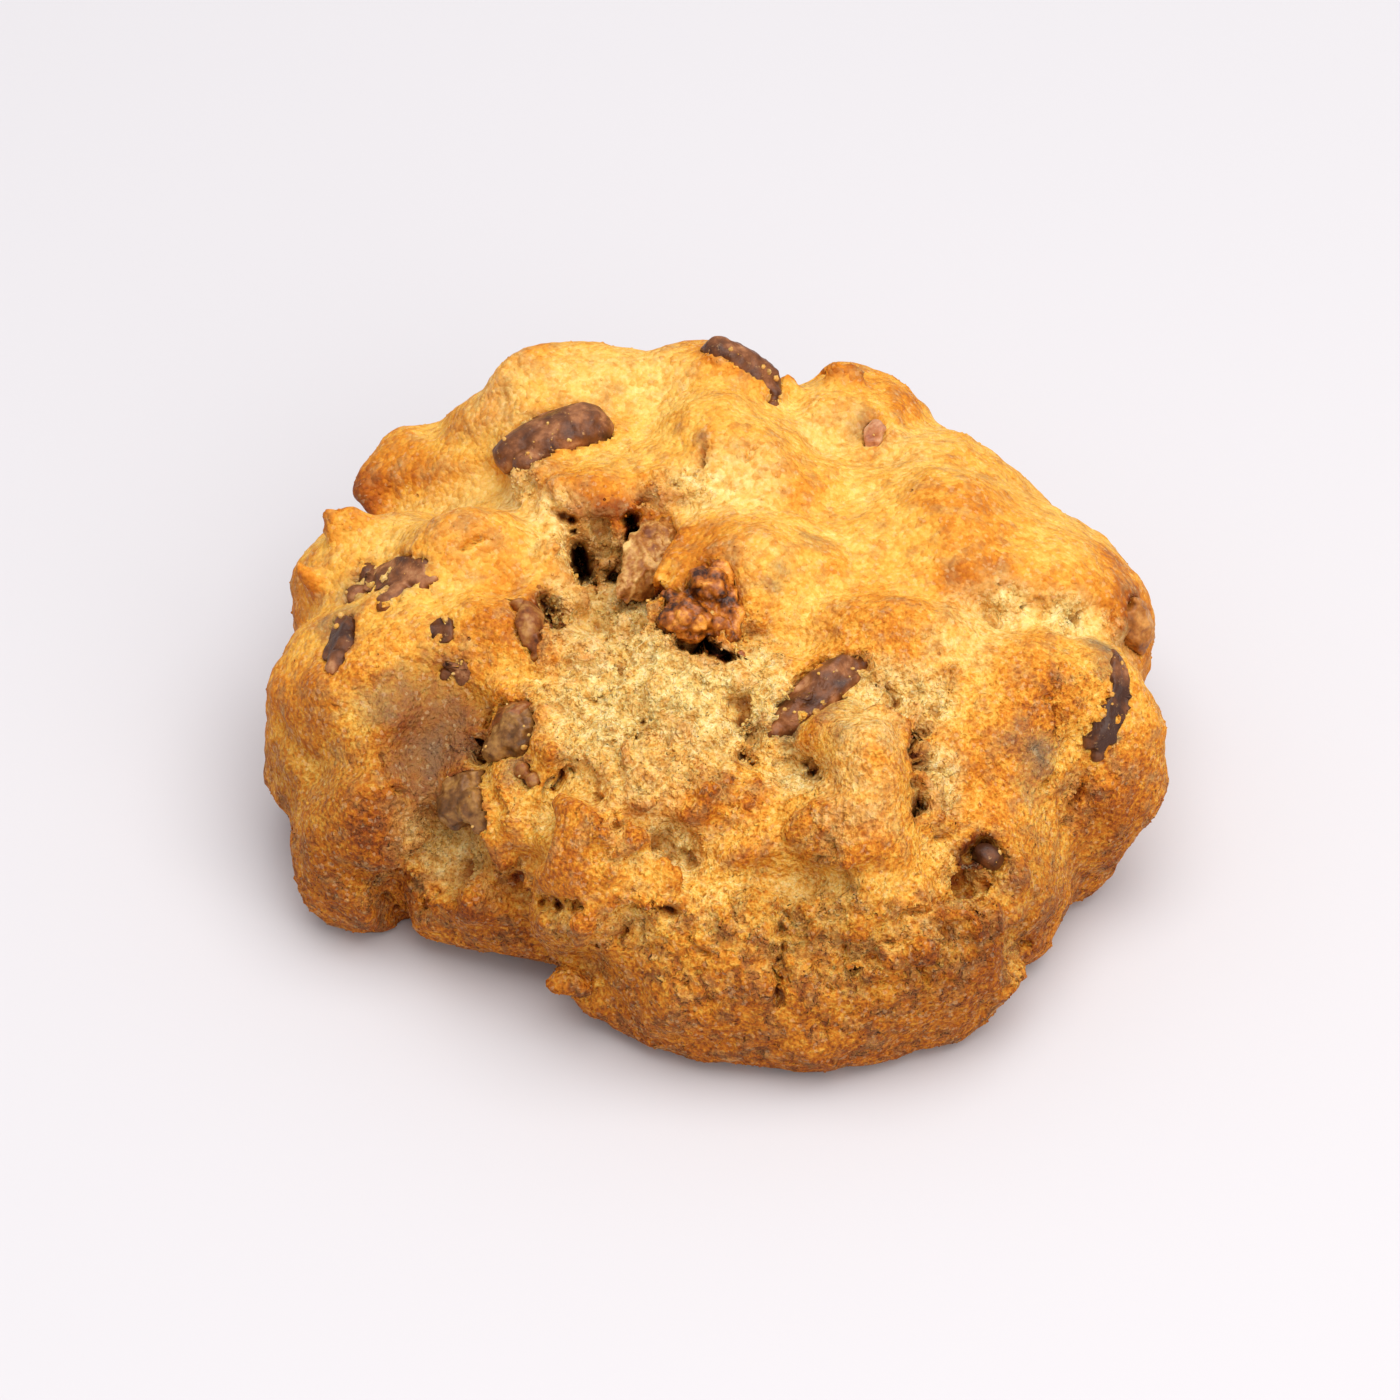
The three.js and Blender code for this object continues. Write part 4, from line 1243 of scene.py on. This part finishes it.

# %% Crust and crumb colours
# Both grow darker with heat. The gaps between the grains are painted browner, as painted shade, so the sand
# counts against it.
CRUST_COLOURS = [
    (0.0, "#F8DC92"), (0.2, "#F2C362"), (0.42, "#E4A33C"),
    (0.62, "#D07E1C"), (0.82, "#AE5C12"), (1.0, "#8A4310"),
]
CRUMB_COLOURS = [(0.2, "#F8E2A6"), (0.5, "#EAC574"), (0.8, "#D29842")]
SHADE_COLOURS = [(0.0, "#FFFFFF"), (0.22, "#D6CAB8"), (0.45, "#B08A5C"), (0.7, "#6E4826"), (1.0, "#2A180A")]
heat = add_scaled(nodes, look["browning"], blotches, 0.5, 0.6)
heat = add_scaled(nodes, heat, mottle, 0.5, 0.42)
heat = add_scaled(nodes, heat, grit, 0.5, 0.2)
# Painted shade between the grains: browner where the sand is low.
heat = add_scaled(nodes, heat, sand_shown, 0.0, -0.8)
heat = add_scaled(nodes, heat, grain_tint, 0.5, 0.16)
crumb_heat = add_scaled(nodes, grit, mottle, 0.5, 0.9)
crumb_heat = add_scaled(nodes, crumb_heat, sand_shown, 0.0, -0.7)
crumb_heat = add_scaled(nodes, crumb_heat, grain_tint, 0.5, 0.25)
crumb_share = add_scaled(nodes, look["pale"], mottle, 0.5, 1.3)
colour = mixed(nodes, crumb_share, ramp(nodes, heat, CRUST_COLOURS), ramp(nodes, crumb_heat, CRUMB_COLOURS))
# The stored painted shade darkens the colour, towards black in the deepest places.
colour = mixed(nodes, 1.0, colour, ramp(nodes, look["deep"], SHADE_COLOURS), "MULTIPLY")

# %% Fine cracks and pores
# The dry crust of the wall is crossed by a broken net of hairlines, and burst bubbles left pores.
bent = cloudy(nodes, place, 1.3, 4.0, 0.65, "Color")
bent_place = add_node(nodes, "ShaderNodeVectorMath", links=[(0, bent), (2, place)],
                      operation="MULTIPLY_ADD", input_1=(2.2 * MM,) * 3).outputs[0]
net = cells(nodes, bent_place, 3.0, feature="DISTANCE_TO_EDGE")["Distance"]
line, gone = fitted(nodes, net, 0.02, 0.13, 1.0, 0.0), fitted(nodes, mottle, 0.42, 0.6)
line = calculated(nodes, "MULTIPLY", calculated(nodes, "MULTIPLY", line, gone), look["cracked"])
pore = cells(nodes, place, 2.4)
pore_size = fitted(nodes, channel(nodes, pore["Color"], 0), 0.75, 1.0, 0.0, 0.1)
pit = fitted(nodes, calculated(nodes, "SUBTRACT", pore_size, pore["Distance"]), 0.0, 0.05)
crack = calculated(nodes, "MAXIMUM", line, pit)
# The hairlines and pores are painted darker: painted shade inside them.
colour = mixed(nodes, calculated(nodes, "MULTIPLY", crack, 0.45), colour, "#B4601C", "MULTIPLY")

# %% Chocolate smears and sugar
sugar_tint = channel(nodes, cells(nodes, place, 0.38)["Color"], 1)
# Pale sugar specks, painted lighter still as a painted highlight.
sugar_and_sparkle = calculated(nodes, "MULTIPLY", calculated(nodes, "GREATER_THAN", sugar_tint, 0.92), 0.12)
# Chocolate smears, and the painted shade of the left valley, mixed in as one grey-brown.
colour = mixed(nodes, add_scaled(nodes, look["smear_and_shade"], mottle, 0.5, 1.1), colour, "#74604A")
colour = mixed(nodes, sugar_and_sparkle, colour, "#FFEBB8")
nodes.links.new(shader.inputs["Base Color"], colour)
nodes.links.new(shader.inputs["Roughness"], fitted(nodes, sugar_tint, to_low=0.8, to_high=0.62))

# %% The dough's finest relief
# Only what is under half a millimetre is left to bump: grains, and the hairlines between plates.
bump = bumped(nodes, sand, look["sandy"], 0.5)
bump = bumped(nodes, grain["Distance"], 0.55, 0.4, bump, invert=True)
bump = bumped(nodes, mottle, 0.4, 0.8, bump)
bump = bumped(nodes, crack, 1.0, 0.4, bump, invert=True)
nodes.links.new(shader.inputs["Normal"], bump)
print("nodes in the dough:", len(nodes.nodes))
waxy(shader, 0.2, (1.0, 0.5, 0.2), 0.8)
shader.inputs["Specular IOR Level"].default_value = 0.2
crust.data.materials.clear()
crust.data.materials.append(dough)
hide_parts("dough")
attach(crust, "root")

# %% [markdown]
# ## Loose crumb
# A broken cookie sheds grains: clots of flour, sugar and butter from a fifth of a millimetre up.
# They cling in the tears, along the cracks and on the chocolate, and they give the cookie its sandy
# bite. One small ball is copied thousands of times, half sunk in what carries it, and each copy
# takes its browning from the crust beside it.

# %% Grains on the crust
deselect_all()
bpy.ops.mesh.primitive_ico_sphere_add(subdivisions=1, radius=1, location=(0, 0, 0))
grain_ball = bpy.context.object
grain_places = corners(grain_ball)
grain_faces = [tuple(p.vertices) for p in grain_ball.data.polygons]
bpy.data.objects.remove(grain_ball)
MOST_GRAINS = 9900
SUNK = 0.45  # of its half width
AWAY_FROM_BOX = 0.5 * MM
AWAY_FROM_TRAY = 1.5 * MM
SCATTER = 0.25 * MM
# Name: smallest and largest in millimetres, half across.
GRAINS = {"torn_crumb": (0.13, 0.3), "crumbs_along_cracks": (0.12, 0.24)}
low_corner, high_corner = np.array(CAD_BOX[0]) + AWAY_FROM_BOX, np.array(CAD_BOX[1]) - AWAY_FROM_BOX
above = ((skin > low_corner) & (skin < high_corner)).all(1) & (skin[:, 2] > AWAY_FROM_TRAY)
ragged = np.clip(hollow - 0.05, 0, 0.5) * 2
weights = {
    "torn_crumb": above * (torn ** 1.3 + 0.02),
    "crumbs_along_cracks": above * (0.1 + 0.7 * cracked + 1.5 * ragged + 0.3 * torn),
}


def grain_piece(name, bodies, radii, values):
    piece = scattered(name, grain_places, grain_faces, bodies, radii)
    for key, numbers in values.items():
        keep(piece, key, np.repeat(numbers, len(grain_places)))
    make_active(piece)
    bpy.ops.object.shade_smooth()
    piece.data.materials.append(dough)
    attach(piece, "root")


for name, weight in weights.items():
    chosen = np.array(random.choices(range(len(skin)), weights=weight.tolist(), k=MOST_GRAINS))
    smallest, largest = GRAINS[name]
    radii = [(smallest + (largest - smallest) * random.random() ** 2) * MM for _ in chosen]
    jitter = np.array([[random.uniform(-SCATTER, SCATTER) for _ in range(3)] for _ in chosen])
    bodies = skin[chosen] + jitter - normals[chosen] * (jitter * normals[chosen]).sum(1)[:, None]
    bodies -= normals[chosen] * np.array(radii)[:, None] * SUNK
    values = {key: numbers[chosen] for key, numbers in looks.items()}
    values["browning"] = values["browning"] + np.array([random.uniform(-0.12, 0.1) for _ in chosen])
    grain_piece(name, bodies, radii, values)
print("grains:", len(weights), "pieces of", MOST_GRAINS)

# %% Crumbs on the chocolate and the nuts
# They lie in clots on the pieces, wherever no crust covers them, and are the colour of pale crust.
STUCK = {"chocolate": 240, "walnut": 50}
STUCK_LOOK = {"pale": 0.4, "browning": 0.5, "smear_and_shade": 0.2}
STUCK_SIZES = (0.08, 0.42)
bodies, radii = [], []
shown = skin_tree(crust)
for kind, count in STUCK.items():
    places = np.concatenate([corners(piece) for node, piece in pieces.items() if node.startswith(kind)])
    clots = np.clip(waves(places, 2.2 * MM, 2) - 0.05, 0, 1) ** 1.5 + 0.004
    for i in random.choices(range(len(places)), weights=clots.tolist(), k=count):
        if shown.ray_cast(Vector(places[i]) + BACK * 0.5 * MM, BACK)[0] is None:
            bodies.append(places[i])
            radii.append((STUCK_SIZES[0] + (STUCK_SIZES[1] - STUCK_SIZES[0]) * random.random() ** 2.5) * MM)
values = {key: np.zeros(len(bodies)) + STUCK_LOOK.get(key, 0) for key in looks}
grain_piece("crumbs_stuck", np.array(bodies), radii, values)
print("stuck crumbs:", len(bodies))

# %% [markdown]
# ## Dark chocolate
# Couverture that melted in the oven and set again without tempering: dark brown, softly glossy,
# with a grey bloom of cocoa butter in places and crumbs of dough stuck to it. Some places are
# painted darker, nearly black: where the pieces lie deep in the hollow and in holes, that is painted
# shade. Those places are stored, on the nuts as well.

# %% Seared places
# Pixel, radius in millimetres, share.
DARKENED_AND_SHADED = [
    (698, 616, 6.5, 1.0), (672, 612, 5.0, 0.9), (680, 635, 5.0, 0.9), (715, 650, 4.5, 1.0),
    (650, 592, 3, 0.9), (690, 600, 4, 1.0), (1108, 720, 7, 0.9), (338, 640, 4, 0.9), (985, 845, 4, 1.0),
    (442, 675, 3, 0.7), (440, 628, 3, 0.7), (628, 590, 3.0, 0.4),
]
# Darker places and painted shade, stored on each piece.
for piece in pieces.values():
    keep(piece, "darkened_and_shaded", painted(corners(piece), form, DARKENED_AND_SHADED))
print("seared places:", len(DARKENED_AND_SHADED))

# %% Chocolate
COCOA = [(0.3, "#3E1E0C"), (0.5, "#74421F"), (0.6, "#9A623A"), (0.7, "#B88658")]
chocolate, nodes, shader = new_material("dark chocolate, melted and set")
place = add_node(nodes, "ShaderNodeTexCoord").outputs["Object"]
swirl = cloudy(nodes, place, 2.6, 4.0, 0.6)
dust = cloudy(nodes, place, 0.7, 3.0, 0.7)
# The chocolate's tone, darkened by the stored painted shade.
bloom_and_shade = calculated(nodes, "MULTIPLY_ADD", stored(nodes, "darkened_and_shaded"), -0.2, swirl)
dusted = fitted(nodes, dust, 0.62, 0.72, 0.0, 0.75)
colour = mixed(nodes, dusted, ramp(nodes, bloom_and_shade, COCOA), "#B88C58")
nodes.links.new(shader.inputs["Base Color"], colour)
nodes.links.new(shader.inputs["Roughness"], fitted(nodes, swirl, 0.35, 0.7, 0.36, 0.6))
nodes.links.new(shader.inputs["Normal"], bumped(nodes, dust, 0.6, 0.25))
shader.inputs["Specular IOR Level"].default_value = 0.35
print("nodes in the chocolate:", len(nodes.nodes))

# %% [markdown]
# ## Walnut kernel
# A toasted walnut half: cream flesh inside a thin papery skin that runs from tan to reddish brown,
# darker in its furrows. Where sugar and butter caramelised on it, it is amber and wet-looking, so
# the same material is made several times with other colours and another gloss.

# %% Walnut
def kernel(name, furrow, skin_colour, flesh, roughness, glaze):
    material, nodes, shader = new_material(name)
    place = add_node(nodes, "ShaderNodeTexCoord").outputs["Object"]
    veins = cloudy(nodes, place, 2.2, 4.0, 0.6)
    fibre = cloudy(nodes, place, 0.5)
    tone = calculated(nodes, "MULTIPLY_ADD", fibre, 0.25, veins)
    # The stored painted shade darkens the nut where it lies deep in the hollow.
    tone = calculated(nodes, "MULTIPLY_ADD", stored(nodes, "darkened_and_shaded"), -0.15, tone)
    colour = ramp(nodes, tone, [(0.45, furrow), (0.6, skin_colour), (0.78, flesh)])
    nodes.links.new(shader.inputs["Base Color"], colour)
    nodes.links.new(shader.inputs["Normal"], bumped(nodes, tone, 0.5, 0.4))
    shader.inputs["Roughness"].default_value = roughness
    shader.inputs["Specular IOR Level"].default_value = 0.3
    shader.inputs["Coat Weight"].default_value = glaze
    shader.inputs["Coat Roughness"].default_value = 0.25
    waxy(shader, 0.15, (1.0, 0.5, 0.25), 0.8)
    return material


toasted = kernel("walnut flesh, toasted", "#70380C", "#A4682A", "#E0B46C", 0.5, 0.05)
caramel = kernel("walnut, caramelised", "#3A1604", "#A85A12", "#F0A440", 0.36, 0.15)
papery = kernel("walnut in its skin", "#45280C", "#70461C", "#A07238", 0.5, 0.1)
reddish = kernel("walnut skin, reddish", "#52280A", "#84481A", "#AE7A3C", 0.5, 0.1)
rosy = kernel("walnut skin, rosy", "#9A5A3A", "#BC8058", "#D4A680", 0.45, 0.15)
browned_nut = kernel("walnut, browned with the crust", "#74400F", "#A5641F", "#CB8E45", 0.5, 0.1)
FINISH = {
    "walnut_pale": toasted, "walnut_dark": caramel, "walnut_left_middle": papery,
    "walnut_left_lower": papery, "walnut_left_upper": reddish, "walnut_rim": reddish,
    "walnut_back": rosy, "walnut_right": browned_nut,
}
for node, piece in pieces.items():
    piece.data.materials.clear()
    piece.data.materials.append(FINISH.get(node, chocolate))
    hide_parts(node)
    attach(piece, "root")
print("pieces with their own material:", len(pieces))
